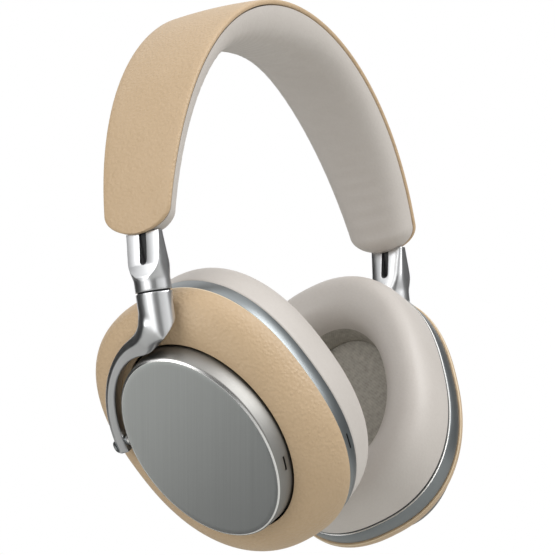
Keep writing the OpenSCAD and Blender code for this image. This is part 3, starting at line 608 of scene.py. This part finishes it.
# %% Sliding arm
ARM_LEN, ARM_W, SWIVEL_D = 19.8, 12.4, 12.1
ARM_TOP_T = 3.4
ARM_FOOT = 0.3
ARM_TOP_GAP = 0.2      # how far the casting stays below the end of the headband, mm
ARM_ROUND, ARM_FULL = 3.5, 3       # how far up the arm stays round, and its back full, mm
ARM_SQUARE = 3.6       # how square the bar's section is, where 2 is round
ARM_STEPS, SCOOP_STEPS, SLOT_STEPS = 30, 256, 16
SCOOP_FROM, SCOOP_R = 4.0, 60
ARM_SLOT = (2.7, 9.5)
SLOT_PAST, CUT_REACH = 3, 9        # how far the tools run past the arm, along it and to each side, mm
DOUBLED = 0.004        # points closer than this are one, mm
TANG_SIZE, TANG_SHIFT = (35, 7.8, 2.2), 2

swivel_at = Vector(joint["right_swivel"]["pos_m"])
swivel_up = Vector(joint["right_swivel"]["axis"])
swivel_side = Vector((0, 1, 0))
swivel_in = swivel_side.cross(swivel_up)


def at_swivel(inwards, rearwards, up):
    return swivel_at + (inwards * swivel_in + rearwards * swivel_side + up * swivel_up) * MM


def arm_ring(z):
    f = ease(clamp((z - ARM_ROUND) / (0.5 * ARM_LEN - ARM_ROUND)))
    back = lerp(SWIVEL_D / 2, ARM_TOP_T / 2, clamp((z - ARM_FULL) / (ARM_LEN - ARM_FULL)))
    half_w = lerp(SWIVEL_D / 2, ARM_W / 2, f)
    made = []
    for x, y in outline(1, 1, lerp(2, ARM_SQUARE, f), 64):
        made.append(at_swivel(x * (back if x > 0 else SWIVEL_D / 2), y * half_w, z))
    return made


arm_heights = [lerp(ARM_FOOT, ARM_LEN - ARM_TOP_GAP, i / ARM_STEPS) for i in range(ARM_STEPS + 1)]
arm = loft("slider_arm_cast_right", [arm_ring(z) for z in arm_heights], cast_aluminium)
chord = Vector((SWIVEL_D / 2 - ARM_TOP_T / 2, ARM_LEN - SCOOP_FROM))
middle = Vector((-SWIVEL_D / 2, SCOOP_FROM)) + chord / 2
outward = Vector((-chord.y, chord.x)).normalized()
hub = middle + outward * math.sqrt(SCOOP_R ** 2 - (chord.length / 2) ** 2)
scoop_turns = [math.tau * k / SCOOP_STEPS for k in range(SCOOP_STEPS)]
scoop_rings = [
    [at_swivel(hub.x + SCOOP_R * math.cos(t), y, hub.y + SCOOP_R * math.sin(t)) for t in scoop_turns]
    for y in (-CUT_REACH, CUT_REACH)
]
slot_rings = []
slot_r, slot_end = ARM_SLOT[0] / 2, ARM_SLOT[1] + SLOT_PAST
for x in (-CUT_REACH, CUT_REACH):
    slot_turns = [math.pi + math.pi * k / SLOT_STEPS for k in range(SLOT_STEPS + 1)]
    slot_form = [(slot_r * math.cos(a), slot_r * math.sin(a)) for a in slot_turns]
    slot_form += [(slot_r, slot_end), (-slot_r, slot_end)]
    slot_rings.append([at_swivel(x, y, ARM_LEN - ARM_SLOT[1] + z) for y, z in slot_form])
cut(arm, loft("scoop", scoop_rings), loft("slot", slot_rings))
ease_edges(arm, 0.18)
clean = bmesh.new()
clean.from_mesh(arm.data)
bmesh.ops.remove_doubles(clean, verts=clean.verts, dist=DOUBLED * MM)
clean.to_mesh(arm.data)
clean.free()
sharpen(arm, 40)
tang_way = Vector(joint["right_slide"]["axis"])
low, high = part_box("slider_guide_right")
guide_middle = (low + high) / 2
tang_middle = guide_middle + tang_way * TANG_SHIFT * MM
tang = bar("slider_tang_right", tang_middle, tang_way, swivel_side, TANG_SIZE)
tang.data.materials.append(cast_aluminium)
ease_edges(tang, 0.3)
sharpen(tang, 40)
place_pair(arm, "slider_arm")

# %% Tangs
other_tang = twin(tang, "slider_tang_left")
for side, made in (("right", tang), ("left", other_tang)):
    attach(made, body_of["slider_arm_" + side])
print("tangs:", tang.name, other_tang.name)

# %% [markdown]
# ## The frame of a cup
# The cups are built in their own directions: to the front, up the long axis and out through the plate. The
# joints and mounts of the record give these, so a piece lies where its solid does whatever the tilt and
# slant are.

# %% Cup directions
PLATE_TOP = 29
cup_front = -Vector(joint["right_tilt"]["axis"])
cup_up = -Vector(joint["power_slide"]["axis"])
cup_out = cup_front.cross(cup_up)
cup_middle = Vector(mount["right_plate_face"]["pos_m"]) - PLATE_TOP * MM * cup_out
CUP_A, CUP_B, CUP_N = 36, 48, 2.37


def in_cup(x, y, z):
    return cup_middle + (x * cup_front + y * cup_up + z * cup_out) * MM


def to_cup(point):
    away = (point - cup_middle) / MM
    return Vector((away.dot(cup_front), away.dot(cup_up), away.dot(cup_out)))


print("cup middle", [round(c / MM, 1) for c in cup_middle], "mm")

# %% [markdown]
# ## The yokes
# A yoke leaves the swivel as a round post, which is cut off on a slant over the edge of the cup, and runs
# from there as a flat bar round the oval plate to its pivot. The bar is swept along its middle line. Its
# section has a flat face and a sloping outer side, so a crisp ridge appears between them, and it turns
# round as it runs up inside the post.

# %% Yoke middle line
PLATE_A, PLATE_B = 24.2, 34
YOKE_GAP, YOKE_W, YOKE_T = 5, 4, 5.2
YOKE_H = 23.8
PIN_Y = 13.5
ELBOW_IN, ELBOW_OUT = 9, 10.5
YOKE_BELOW = 2.6       # how far the bar runs on past its pivot, mm
BAR_END = 0.9          # how far under the swivel the bar ends, inside the post, mm
yoke_a, yoke_b = PLATE_A + YOKE_GAP, PLATE_B + YOKE_GAP
start_turn = math.asin(PIN_Y / yoke_b) - YOKE_BELOW / yoke_b
elbow_foot = to_cup(at_swivel(0, 0, -BAR_END))
elbow_way = (to_cup(at_swivel(0, 0, -BAR_END - 1)) - elbow_foot).normalized()


def yoke_arc(turn):
    return Vector((-yoke_a * math.cos(turn), yoke_b * math.sin(turn), YOKE_H))


arc_end = yoke_arc(math.pi / 2)
elbow = [arc_end, arc_end + Vector((ELBOW_IN, 0, 0)), elbow_foot + ELBOW_OUT * elbow_way, elbow_foot]


def yoke_spot(u):
    """A point of the middle line: the bar up to u = 1, then the elbow up to u = 2."""
    if u <= 1:
        return yoke_arc(lerp(start_turn, math.pi / 2, u))
    f, g = u - 1, 2 - u
    return g ** 3 * elbow[0] + 3 * f * g * g * elbow[1] + 3 * f * f * g * elbow[2] + f ** 3 * elbow[3]


print("yoke from", [round(c, 1) for c in yoke_spot(0)], "to", [round(c, 1) for c in yoke_spot(2)])

# %% Yoke bar
RIDGE, RIDGE_FALL = 0.3, 0.5       # where the ridge lies across the bar and how far its outer side falls away
UPRIGHT_IN, UPRIGHT_OUT = 1.5, 5.6
FACE_LOW, FACE_HIGH = YOKE_H + YOKE_T / 2, 30.2      # the face beside the plate and where it meets the post
CORNER = 0.12
BAR_FULLER, FULLER_TO = 0.5, 0.5       # how much wider the outer side is at the pivot, mm, and how far along
BAR_STEPS = 60
POST_INSET = 0.4       # how much narrower than the post the bar ends, mm
# Where along the middle line each change starts, and over how much of it
WIDEN, TURN_ROUND = (0.6, 1.2), (1.25, 0.35)
FACE_RISE, DEEPEN = (0.8, 0.55), (1.5, 0.3)


def eased(points, reach, steps):
    """A polygon with a small curve at each corner."""
    made = []
    for i, spot in enumerate(points):
        before, after = points[i - 1], points[(i + 1) % len(points)]
        a = spot + (before - spot).normalized() * reach
        b = spot + (after - spot).normalized() * reach
        made += [a.lerp(spot, f).lerp(spot.lerp(b, f), f) for f in (k / steps for k in range(steps + 1))]
    return made


bar_corners = ((-1, -1), (1, -1), (1, 1 - RIDGE_FALL), (RIDGE, 1), (-1, 1))
bar_form = eased([Vector(p) for p in bar_corners], CORNER, 4)


def share_of(u, change):
    """How far a change along the middle line has come."""
    return ease(clamp((u - change[0]) / change[1]))


def yoke_ring(u):
    way = (yoke_spot(min(2, u + 0.01)) - yoke_spot(max(0, u - 0.01))).normalized()
    across = Vector((0, 0, 1)).cross(way).normalized()
    out = way.cross(across)
    wide, turned = share_of(u, WIDEN), share_of(u, TURN_ROUND)
    half_w = lerp(YOKE_W, SWIVEL_D - POST_INSET, wide) / 2
    fuller = BAR_FULLER * clamp(1 - u / FULLER_TO)
    face = lerp(FACE_LOW, FACE_HIGH, share_of(u, FACE_RISE))
    outer = lerp((face - yoke_spot(u).z) / out.z, UPRIGHT_OUT, share_of(u, DEEPEN))
    inner = lerp(YOKE_T / 2, UPRIGHT_IN, wide)
    made = []
    for p in bar_form:
        q = p.lerp(p.normalized(), turned)
        aside = q.x * (half_w + fuller if q.x > 0 else half_w)
        made.append(in_cup(*(yoke_spot(u) + aside * across + q.y * (outer if q.y > 0 else inner) * out)))
    return made


yoke = loft("yoke_cast_right", [yoke_ring(i / BAR_STEPS) for i in range(2 * BAR_STEPS + 1)], cast_aluminium)
ease_edges(yoke, 0.25, degrees=50)
print("yoke bar:", len(yoke.data.polygons), "faces")

# %% Yoke post
POST_LEN = 17.6
WASHER_HALF, BOSS_LEN = 0.3, 3.1
ELBOW_SLANT = math.radians(20)
POST_COUNT, POST_STEPS = 120, 12
POST_X, POST_Y = 10, 40            # about where the post stands in the cup's directions, mm
BLOCK, BLOCK_W, FACE_BLOCK = 40, 60, 20        # the cutting blocks, mm


def post_ring(down):
    turns = [math.tau * k / POST_COUNT for k in range(POST_COUNT)]
    return [at_swivel(SWIVEL_D / 2 * math.cos(t), SWIVEL_D / 2 * math.sin(t), -down) for t in turns]


post_downs = [lerp(WASHER_HALF, POST_LEN, i / POST_STEPS) for i in range(POST_STEPS + 1)]
post = loft("yoke_post_right", [post_ring(down) for down in post_downs], cast_aluminium)
slant_up = math.cos(ELBOW_SLANT) * cup_up + math.sin(ELBOW_SLANT) * cup_out
slant_spot = in_cup(POST_X, yoke_b, YOKE_H) - BLOCK / 2 * MM * slant_up
below_slant = bar("tool", slant_spot, slant_up, cup_front, (BLOCK, BLOCK_W, BLOCK_W))
side_spot = at_swivel(BLOCK / 2 + UPRIGHT_IN, 0, -BOSS_LEN - BLOCK / 2)
cup_side = bar("tool", side_spot, swivel_up, swivel_side, (BLOCK, BLOCK_W, BLOCK))
face_spot = in_cup(POST_X, POST_Y, FACE_HIGH + FACE_BLOCK / 2)
above_face = bar("tool", face_spot, cup_out, cup_up, (FACE_BLOCK, BLOCK_W, BLOCK_W))
cut(post, below_slant, cup_side, above_face)
print("yoke post:", len(post.data.polygons), "faces")

# %% [markdown]
# The bar and the post are one casting, and a casting has no sharp inside corners, because the metal
# wouldn't fill them. So the two are joined, covered with one even net, and the net is relaxed where they
# meet until it flows from one into the other. Away from the elbow the weight of the relaxing falls to
# nothing, so the bar keeps its ridge.

# %% Yoke elbow
ELBOW_NET = 0.28       # spacing of the net over the joined pieces, mm
ELBOW_AT, ELBOW_UP = 1.47, 4.0       # where the blend is strongest: along the middle line, and above it in mm
ELBOW_REACH = 8.0      # how far the blend reaches, mm
ELBOW_CORE = 1.6       # how steeply it falls off; above 1, its middle is at full strength
ELBOW_ROUNDS = 110
cut(yoke, post, how="UNION")
net = yoke.modifiers.new("net", "REMESH")
net.mode = "VOXEL"
net.voxel_size = ELBOW_NET * MM
settle(yoke)
elbow_middle = in_cup(*(yoke_spot(ELBOW_AT) + Vector((0, 0, ELBOW_UP))))
elbow_group = yoke.vertex_groups.new(name="elbow")
for v in yoke.data.vertices:
    away = (v.co - elbow_middle).length / (ELBOW_REACH * MM)
    elbow_group.add([v.index], ease(clamp(ELBOW_CORE * (1 - away))), "REPLACE")
blend = yoke.modifiers.new("blend", "SMOOTH")
blend.factor = 0.5
blend.iterations = ELBOW_ROUNDS
blend.vertex_group = "elbow"
settle(yoke)
sharpen(yoke, 40)
place_pair(yoke, "yoke")

# %% [markdown]
# ## The cup shells
# Each shell is a moulded dish wrapped in the same tan leather. It is fullest at the upper rear, slopes
# gently at the lower front, and turns in to a narrow gap round the plate. The leather is rolled over the
# rim where the shell meets the ring, and the outer part of that rolled edge is painted lighter, a painted
# highlight where the edge catches the light.

# %% Cup shell
SHELL_FOOT, SHELL_TOP, SHELL_T = 6.5, 20.5, 2.2
RIM_LOW, RIM_HIGH = 0.3, 2.7
RIM_LEAST, RIM_FULL, BULGE_LEAST, BULGE_FULL = 0.4, 1.1, 1.35, 2.8
FULLEST, FULL_BIAS = math.radians(130), 1.3
PLATE_DRAFT, PLATE_GAP = 0.7, 0.6
SHELL_COUNT, SHELL_STEPS, INNER_STEPS = 160, 18, 8
LIP_INSET = 0.5
LIP_STEPS, LIP_HIGHLIGHT_FROM = 5, 3        # rings of the rolled edge, and the first of the rings painted lighter as a highlight
mouth_a, mouth_b = PLATE_A + PLATE_DRAFT + PLATE_GAP, PLATE_B + PLATE_DRAFT + PLATE_GAP


def shell_point(k, f, off):
    way = math.tau * k / SHELL_COUNT
    full = ((1 + math.cos(way - FULLEST)) / 2) ** FULL_BIAS
    bulge = lerp(BULGE_LEAST, BULGE_FULL, full)
    share = max(0.0, math.cos(math.pi / 2 * f)) ** (2 / bulge)
    rise = math.sin(math.pi / 2 * f) ** (2 / bulge)
    rim = lerp(RIM_LEAST, RIM_FULL, full) - off
    n = lerp(2, CUP_N, share)
    a, b = lerp(mouth_a, CUP_A + rim, share), lerp(mouth_b, CUP_B + rim, share)
    c, s = math.cos(way), math.sin(way)
    return (math.copysign(a * abs(c) ** (2 / n), c), math.copysign(b * abs(s) ** (2 / n), s),
            lerp(SHELL_FOOT + lerp(RIM_LOW, RIM_HIGH, full), SHELL_TOP - off, rise))


def shell_ring(f, off):
    return [in_cup(*shell_point(k, f, off)) for k in range(SHELL_COUNT)]


def shell_lip(f):
    """The rolled edge between the ring and the rim of the shell."""
    made = []
    foot = outline(CUP_A - LIP_INSET, CUP_B - LIP_INSET, CUP_N, SHELL_COUNT)
    aside, rise = math.sin(math.pi / 2 * f), 1 - math.cos(math.pi / 2 * f)
    for k in range(SHELL_COUNT):
        x, y, z = shell_point(k, 0, 0)
        foot_x, foot_y = foot[k]
        made.append(in_cup(lerp(foot_x, x, aside), lerp(foot_y, y, aside), lerp(SHELL_FOOT, z, rise)))
    return made


inner_form = outline(CUP_A - SHELL_T, CUP_B - SHELL_T, CUP_N, SHELL_COUNT)
inner_foot = [in_cup(x, y, SHELL_FOOT) for x, y in inner_form]
shell = loft(
    "cup_leather_right",
    [shell_lip(i / LIP_STEPS) for i in range(LIP_STEPS)]
    + [shell_ring(i / SHELL_STEPS, 0) for i in range(SHELL_STEPS + 1)]
    + [shell_ring(1 - i / INNER_STEPS, SHELL_T) for i in range(INNER_STEPS + 1)] + [inner_foot],
    tan_leather, painted_highlight_rim_leather, looped=True,
)
# The outer rings of the rolled edge take the lighter leather: a painted highlight.
for index, face in enumerate(shell.data.polygons):
    face.material_index = 1 if LIP_HIGHLIGHT_FROM <= index // SHELL_COUNT < LIP_STEPS else 0
sharpen(shell, 55)
place_pair(shell, "cup_shell")

# %% [markdown]
# ## The oval plates
# The plate is a shallow aluminium cap with three finishes: a brushed face, a bright chamfer round it and a
# satin wall. Each is a band of the same loft, so each band of faces takes its own material. A short slot
# in the wall lets a microphone hear.

# %% Oval plate
PLATE_FOOT, PLATE_WALL, PLATE_CHAMFER = 18.5, 1.8, 0.9
PLATE_COUNT = 160
BRUSH_WAY = (0.64 * cup_front + 0.77 * cup_up).normalized()
plate_face = brushed("brushed_anodised_aluminium", "#C9CCCB", "#BBBEBD", 0.36, BRUSH_WAY)


def plate_ring(out, z):
    return [in_cup(x, y, z) for x, y in outline(PLATE_A + out, PLATE_B + out, 2, PLATE_COUNT)]


BRUSHED, SATIN, BRIGHT = 0, 1, 2       # the finishes, in the order in which the mesh takes them
inset = PLATE_CHAMFER
plate_rows = [
    (-PLATE_WALL, PLATE_TOP - PLATE_WALL, SATIN), (PLATE_DRAFT - PLATE_WALL, PLATE_FOOT, SATIN),
    (PLATE_DRAFT, PLATE_FOOT, SATIN), (0.02, PLATE_TOP - inset - 0.15, SATIN),
    (-0.06, PLATE_TOP - inset, SATIN), (-0.35, PLATE_TOP - 0.6, BRIGHT),
    (-inset + 0.06, PLATE_TOP - 0.05, BRIGHT), (-inset - 0.1, PLATE_TOP, BRUSHED),
]
plate_rows += [(-inset - further, PLATE_TOP, BRUSHED) for further in (1.5, 8, 16)]
plate = loft("oval_plate_cap_right", [plate_ring(o, z) for o, z, m in plate_rows],
             plate_face, satin_aluminium, bright_aluminium, black_abs)
bands = len(plate_rows) - 1
for index, face in enumerate(plate.data.polygons):
    band = index // PLATE_COUNT
    end = BRUSHED if index > bands * PLATE_COUNT else SATIN
    face.material_index = plate_rows[band][2] if band < bands else end
MIC_TURN, MIC_SLOT = math.radians(-44), (2.4, 4.6, 1.0)
mic_way = math.cos(MIC_TURN) * cup_front + math.sin(MIC_TURN) * cup_up
mic_side = cup_out.cross(mic_way)
mic_x = 1 / math.hypot(math.cos(MIC_TURN) / PLATE_A, math.sin(MIC_TURN) / PLATE_B)
mic_spot = cup_middle + (mic_x * mic_way + (PLATE_FOOT + PLATE_TOP) / 2 * cup_out) * MM
mic = bar("mic", mic_spot, mic_way, mic_side, MIC_SLOT)
mic.data.materials.append(black_abs)
cut(plate, mic)
bush_seat = Vector(joint["right_tilt"]["pos_m"])
BUSH_D, BUSH_COUNT, HOLE_DEPTH = 5.3, 48, 12
bush_turns = [math.tau * k / BUSH_COUNT for k in range(BUSH_COUNT)]
hole = loft("hole", [
    [bush_seat + cup_front * x * MM + (cup_up * math.cos(a) + cup_out * math.sin(a)) * BUSH_D / 2 * MM
     for a in bush_turns] for x in (0, HOLE_DEPTH)])
cut(plate, hole)
sharpen(plate, 28)
place_pair(plate, "oval_plate")

# %% [markdown]
# ## The rings
# A lacquered ring joins each shell to its cushion. It is an oval tube of rounded section with a bright
# edge towards the cushion, and openings for the controls, the charging socket and a microphone.

# %% Ring profile
RING_H, RING_WALL, RING_ROUND = 6.3, 2.6, 0.5
RING_COUNT = 176


def ring_ring(out, z):
    return [in_cup(x, y, z) for x, y in outline(CUP_A + out, CUP_B + out, CUP_N, RING_COUNT)]


def ring_mesh(name):
    rows = [(-RING_WALL, 0), (-RING_ROUND, 0), (-0.3 * RING_ROUND, 0.3 * RING_ROUND), (0, RING_ROUND)]
    rows += [(0, RING_H - RING_ROUND), (-0.15 * RING_ROUND, RING_H - 0.4 * RING_ROUND), (-RING_ROUND, RING_H)]
    rows += [(-RING_WALL, RING_H)]
    made = loft(name, [ring_ring(o, z) for o, z in rows], ring_lacquer, bright_aluminium, black_abs,
                looped=True)
    for index, face in enumerate(made.data.polygons):
        face.material_index = 1 if index // RING_COUNT == 1 else 0
    return made


print("ring wall", RING_WALL, "mm")

# %% Ring openings
CONTROL_Z = 4.05
BUTTON_PITCH, BUTTON_LEN, BUTTON_H = 9.5, 6.5, 3.0
POWER_Y, POWER_LEN, POWER_TRAVEL = -20.5, 5, 2
OPEN_SLACK = 0.4
USB_W, USB_H, USB_Z = 8.9, 3.2, 3.6
TOOL_IN = 1            # how far inside the outline the tools are centred, mm
CONTROL_DEPTH, USB_DEPTH = 14, 10
LIGHT_R, LIGHT_OUT, LIGHT_IN, LIGHT_COUNT = 0.9, 2, 12, 32
RING_MIC = (2.0, 5, 0.9)
RING_MIC_TURN = math.radians(-41)


def control_tool(y, length):
    size = (CONTROL_DEPTH, length + OPEN_SLACK, BUTTON_H + OPEN_SLACK)
    return bar("tool", in_cup(-CUP_A + TOOL_IN, y, CONTROL_Z), cup_front, cup_up, size)


def mic_tool(turn, size):
    way = math.cos(turn) * cup_front + math.sin(turn) * cup_up
    c, s = abs(math.cos(turn)), abs(math.sin(turn))
    reach_mm = ((c / CUP_A) ** CUP_N + (s / CUP_B) ** CUP_N) ** (-1 / CUP_N)
    spot = cup_middle + (reach_mm * way + RING_H / 2 * cup_out) * MM
    made = bar("tool", spot, way, cup_out.cross(way), size)
    for finish in (ring_lacquer, bright_aluminium, black_abs):
        made.data.materials.append(finish)
    for face in made.data.polygons:
        face.material_index = 2
    return made


right_ring = ring_mesh("cup_ring_band_right")
light_y = -3 * BUTTON_PITCH
light_turns = [math.tau * k / LIGHT_COUNT for k in range(LIGHT_COUNT)]
light = loft("tool", [
    [in_cup(x, light_y + LIGHT_R * math.cos(a), CONTROL_Z + LIGHT_R * math.sin(a)) for a in light_turns]
    for x in (-CUP_A - LIGHT_OUT, -CUP_A + LIGHT_IN)])
usb_size = (USB_DEPTH, USB_W + OPEN_SLACK, USB_H + OPEN_SLACK)
usb = bar("tool", in_cup(0, -CUP_B + TOOL_IN, USB_Z), cup_up, cup_front, usb_size)
cut(right_ring, *[control_tool(i * BUTTON_PITCH, BUTTON_LEN) for i in (-1, 0, 1)],
    control_tool(POWER_Y, POWER_LEN + POWER_TRAVEL), light, usb, mic_tool(RING_MIC_TURN, RING_MIC))
left_ring_base = ring_mesh("ring_base")
cut(left_ring_base, control_tool(0, BUTTON_LEN))
left_ring = twin(left_ring_base, "cup_ring_band_left")
bpy.data.objects.remove(left_ring_base)
for made, node in ((right_ring, "cup_ring_right"), (left_ring, "cup_ring_left")):
    sharpen(made, 35)
    stands_for(made, node)
print("rings:", len(right_ring.data.polygons), len(left_ring.data.polygons), "faces")

# %% [markdown]
# ## The ear cushions
# A cushion is an oval ring of memory foam in a leatherette cover that is sewn to a flat back. Its form is
# lofted a little small, as an even net of faces a few millimetres wide, which is what a cloth needs. A
# cloth simulation then presses the cover out from inside, as the foam does, while the back is held where
# it is sewn. Movement is capped, and a subdivision smooths the result. Inside the ear opening the cover
# ends at a skirt of the acoustic cloth.

# %% Cushion form
CUSHION_BACK, CUSHION_FRONT = -0.05, -19.9
WELL_A, WELL_B = 18.5, 28
CUSHION_SHRINK = 0.4
CUSHION_SEAM = -6      # where the cushion is widest, mm from the ring
BACK_BEND, BACK_SQUARE = 0.4, 0.15         # how full the section is at the back and how square its corner
FRONT_BEND, FRONT_FULL = 0.72, 0.85        # the same towards the ear
WELL_N = 2.1           # how square the ear opening is, where 2 is an ellipse
SECTION, AROUND = 26, 84
SKIRT = (9, 14)        # bands of the inner wall that the acoustic cloth covers, at the back
acoustic_cloth = weave("acoustic_plain_weave", "#C2BDB3", "#86827A", cup_front, cup_up)


def cushion_ring(i):
    a = math.tau * i / SECTION
    c, s = math.cos(a), math.sin(a)
    if s > 0:
        back = s ** BACK_SQUARE
        bend, small, z = BACK_BEND, lerp(CUSHION_SHRINK, 0.0, back), lerp(CUSHION_SEAM, CUSHION_BACK, back)
    else:
        bend, small = FRONT_BEND, CUSHION_SHRINK
        z = lerp(CUSHION_SEAM, CUSHION_FRONT + CUSHION_SHRINK, abs(s) ** FRONT_FULL)
    f = 0.5 + 0.5 * math.copysign(abs(c) ** bend, c)
    half_w, half_h = lerp(WELL_A + small, CUP_A - small, f), lerp(WELL_B + small, CUP_B - small, f)
    return [in_cup(x, y, z) for x, y in outline(half_w, half_h, lerp(WELL_N, CUP_N, f), AROUND)]


cushion = loft("ear_cushion_soft_right", [cushion_ring(i) for i in range(SECTION)],
               grey_leatherette, acoustic_cloth, looped=True)
for index, face in enumerate(cushion.data.polygons):
    face.material_index = 1 if SKIRT[0] <= index // AROUND < SKIRT[1] else 0
print("cushion form:", len(cushion.data.vertices), "points")

# %% Cushion filling
FRAMES = 20
PUFF_CAP = 1.2 * MM
PRESSURE = 4
HELD = 2.0             # depth of the sewn edge at the back, mm


def fill_cushion(piece):
    """Swells a closed piece as foam fills its cover."""
    sewn = piece.vertex_groups.new(name="sewn")
    sewn.add([v.index for v in piece.data.vertices if to_cup(v.co).z > CUSHION_BACK - HELD], 1.0, "REPLACE")
    start = [v.co.copy() for v in piece.data.vertices]
    cloth = piece.modifiers.new("filling", "CLOTH")
    cloth.settings.use_pressure = True
    cloth.settings.uniform_pressure_force = PRESSURE
    cloth.settings.effector_weights.gravity = 0
    cloth.settings.vertex_group_mass = "sewn"
    for number in range(1, FRAMES + 1):
        bpy.context.scene.frame_set(number)
    settle(piece)
    bpy.context.scene.frame_set(1)
    most = 0.0
    for vertex, rest in zip(piece.data.vertices, start):
        move = vertex.co - rest
        most = max(most, move.length)
        if move.length > PUFF_CAP:
            vertex.co = rest + move * (PUFF_CAP / move.length)
    return most / MM


print("cushion swelled by up to", round(fill_cushion(cushion), 2), "mm before the cap")

# %% Cushion smoothing and twin
finer = cushion.modifiers.new("finer", "SUBSURF")
finer.levels = 1
settle(cushion)
cushion.data.shade_smooth()
other_cushion = place_pair(cushion, "ear_cushion")

# %% [markdown]
# ## The remaining solids
# The pins, bushes, rails, screws, boards and drive units keep their exact solids and get their finishes by
# the record's material slots. The buttons are moulded with eased edges, so a weld and a small bevel are
# put on them.

# %% Finishes of the remaining solids
finish_of = {
    "cast_aluminium": cast_aluminium, "ring_plastic": ring_lacquer, "control_plastic": ring_lacquer,
    "black_plastic": black_abs, "washer_nylon": black_nylon, "steel": plain_steel,
    "bush_aluminium": bright_aluminium,
    "acoustic_cloth": acoustic_cloth, "cone_fibre": pressed_fibre, "circuit_laminate": resist_board,
    "cell_foil": pouch_foil, "light_pipe": frosted_pipe, "tan_leather": tan_leather,
    "grey_leatherette": grey_leatherette, "plate_aluminium": satin_aluminium,
}
for name, solid in frame["nodes"].items():
    solid.data.materials.clear()
    solid.data.materials.append(finish_of[slot_of[name]])
WELD_GAP, CONTROL_EASE = 0.01, 0.35
CONTROLS = ("volume_up_button", "play_button", "volume_down_button", "quick_button", "power_switch")
for name in CONTROLS:
    weld = frame["nodes"][name].modifiers.new("welded", "WELD")
    weld.merge_threshold = WELD_GAP * MM
    bevel = frame["nodes"][name].modifiers.new("eased", "BEVEL")
    bevel.width = CONTROL_EASE * MM
    bevel.segments = 3
    bevel.limit_method = "ANGLE"
print("finished solids:", len(frame["nodes"]))

# %% [markdown]
# ## Floor and studio light
# The object is held up in front of a white background. The floor is pale and lies well below it. A large
# soft key light stands high at the front, a fill at the other side and a weak one overhead, and the world
# gives an even light with a white background for the camera and for reflections. Dark and grey flags,
# which only reflections see, give the satin metal its bands, and a grey card low at the side gives the
# brushed plate its gradient.

# %% Floor
FLOOR_Z, FLOOR_HALF = -0.30, 6
floor_mesh = bpy.data.meshes.new("floor")
floor_corners = [(x * FLOOR_HALF, y * FLOOR_HALF, FLOOR_Z) for x, y in ((-1, -1), (1, -1), (1, 1), (-1, 1))]
floor_mesh.from_pydata(floor_corners, [], [(0, 1, 2, 3)])
pale = moulding("pale_studio_paint", "#D2D2CF", 0.8)
floor = finished("floor", floor_mesh, pale)
print("floor at", FLOOR_Z, "m")

# %% Lamps
def soft_box(name, spot, aim, size, power):
    lamp = bpy.data.lights.new(name, "AREA")
    lamp.shape = "RECTANGLE"
    lamp.size, lamp.size_y = size
    lamp.energy = power
    made = bpy.data.objects.new(name, lamp)
    bpy.context.scene.collection.objects.link(made)
    made.location = spot
    made.rotation_euler = (Vector(aim) - Vector(spot)).to_track_quat("-Z", "Y").to_euler()
    return made


AIM = (0, 0, -0.09)
soft_box("key", (0.45, -1.15, 0.75), AIM, (0.9, 0.9), 14)
soft_box("fill", (-1.2, 0.1, 0.45), AIM, (0.9, 1.2), 8)
soft_box("top", (0, -0.1, 1.3), AIM, (1.2, 1.2), 3)

# %% World
EVEN_LIGHT = 0.45
bpy.context.scene.view_settings.view_transform = "Standard"
world = bpy.data.worlds.new("studio")
bpy.context.scene.world = world
world.use_nodes = True
tree = world.node_tree
tree.nodes.clear()
path = add(tree, "ShaderNodeLightPath")
seen = path.outputs["Is Camera Ray"]
for kind in ("Is Glossy Ray", "Is Transmission Ray"):
    seen = add(tree, "ShaderNodeMath", {0: seen, 1: path.outputs[kind]}, operation="MAXIMUM").outputs[0]
even = add(tree, "ShaderNodeBackground", {"Color": (1, 1, 1, 1), "Strength": EVEN_LIGHT})
white = add(tree, "ShaderNodeBackground", {"Color": (1, 1, 1, 1), "Strength": 1.0})
both = add(tree, "ShaderNodeMixShader", {0: seen, 1: even.outputs[0], 2: white.outputs[0]})
add(tree, "ShaderNodeOutputWorld", {"Surface": both.outputs[0]})
print("world ready")

# %% Flags for the reflections
dark_cloth = moulding("black_flag_cloth", "#1A1A1A", 0.9)
grey_cloth = moulding("grey_flag_cloth", "#6A6A6A", 0.9)


def flag(name, cloth, corners):
    """A panel of cloth, seen only in reflections."""
    mesh = bpy.data.meshes.new(name)
    mesh.from_pydata(corners, [], [(0, 1, 2, 3)])
    made = finished(name, mesh, cloth)
    made.visible_camera = False
    made.visible_diffuse = False
    made.visible_shadow = False
    made.visible_transmission = False
    return made


FLAG_LOW, FLAG_HIGH = -0.6, 1.2


def upright(turns, distance):
    """The corners of an upright panel between two turns round the object."""
    ends = [(distance * math.sin(math.radians(t)), -distance * math.cos(math.radians(t))) for t in turns]
    return [(*ends[0], FLAG_LOW), (*ends[1], FLAG_LOW), (*ends[1], FLAG_HIGH), (*ends[0], FLAG_HIGH)]


CARD_Z = FLOOR_Z + 0.002
CARD = ((-0.36, 0.05), (-0.10, 0.20), (0.02, 0.0), (-0.24, -0.15))
flags = [
    flag("flag_left", dark_cloth, upright((-205, -134), 1.8)),
    flag("flag_front", grey_cloth, upright((-72, -36), 2.4)),
    flag("flag_right", grey_cloth, upright((28, 95), 1.8)),
    flag("low_card", grey_cloth, [(x, y, CARD_Z) for x, y in CARD]),
]
print("flags:", [f.name for f in flags])
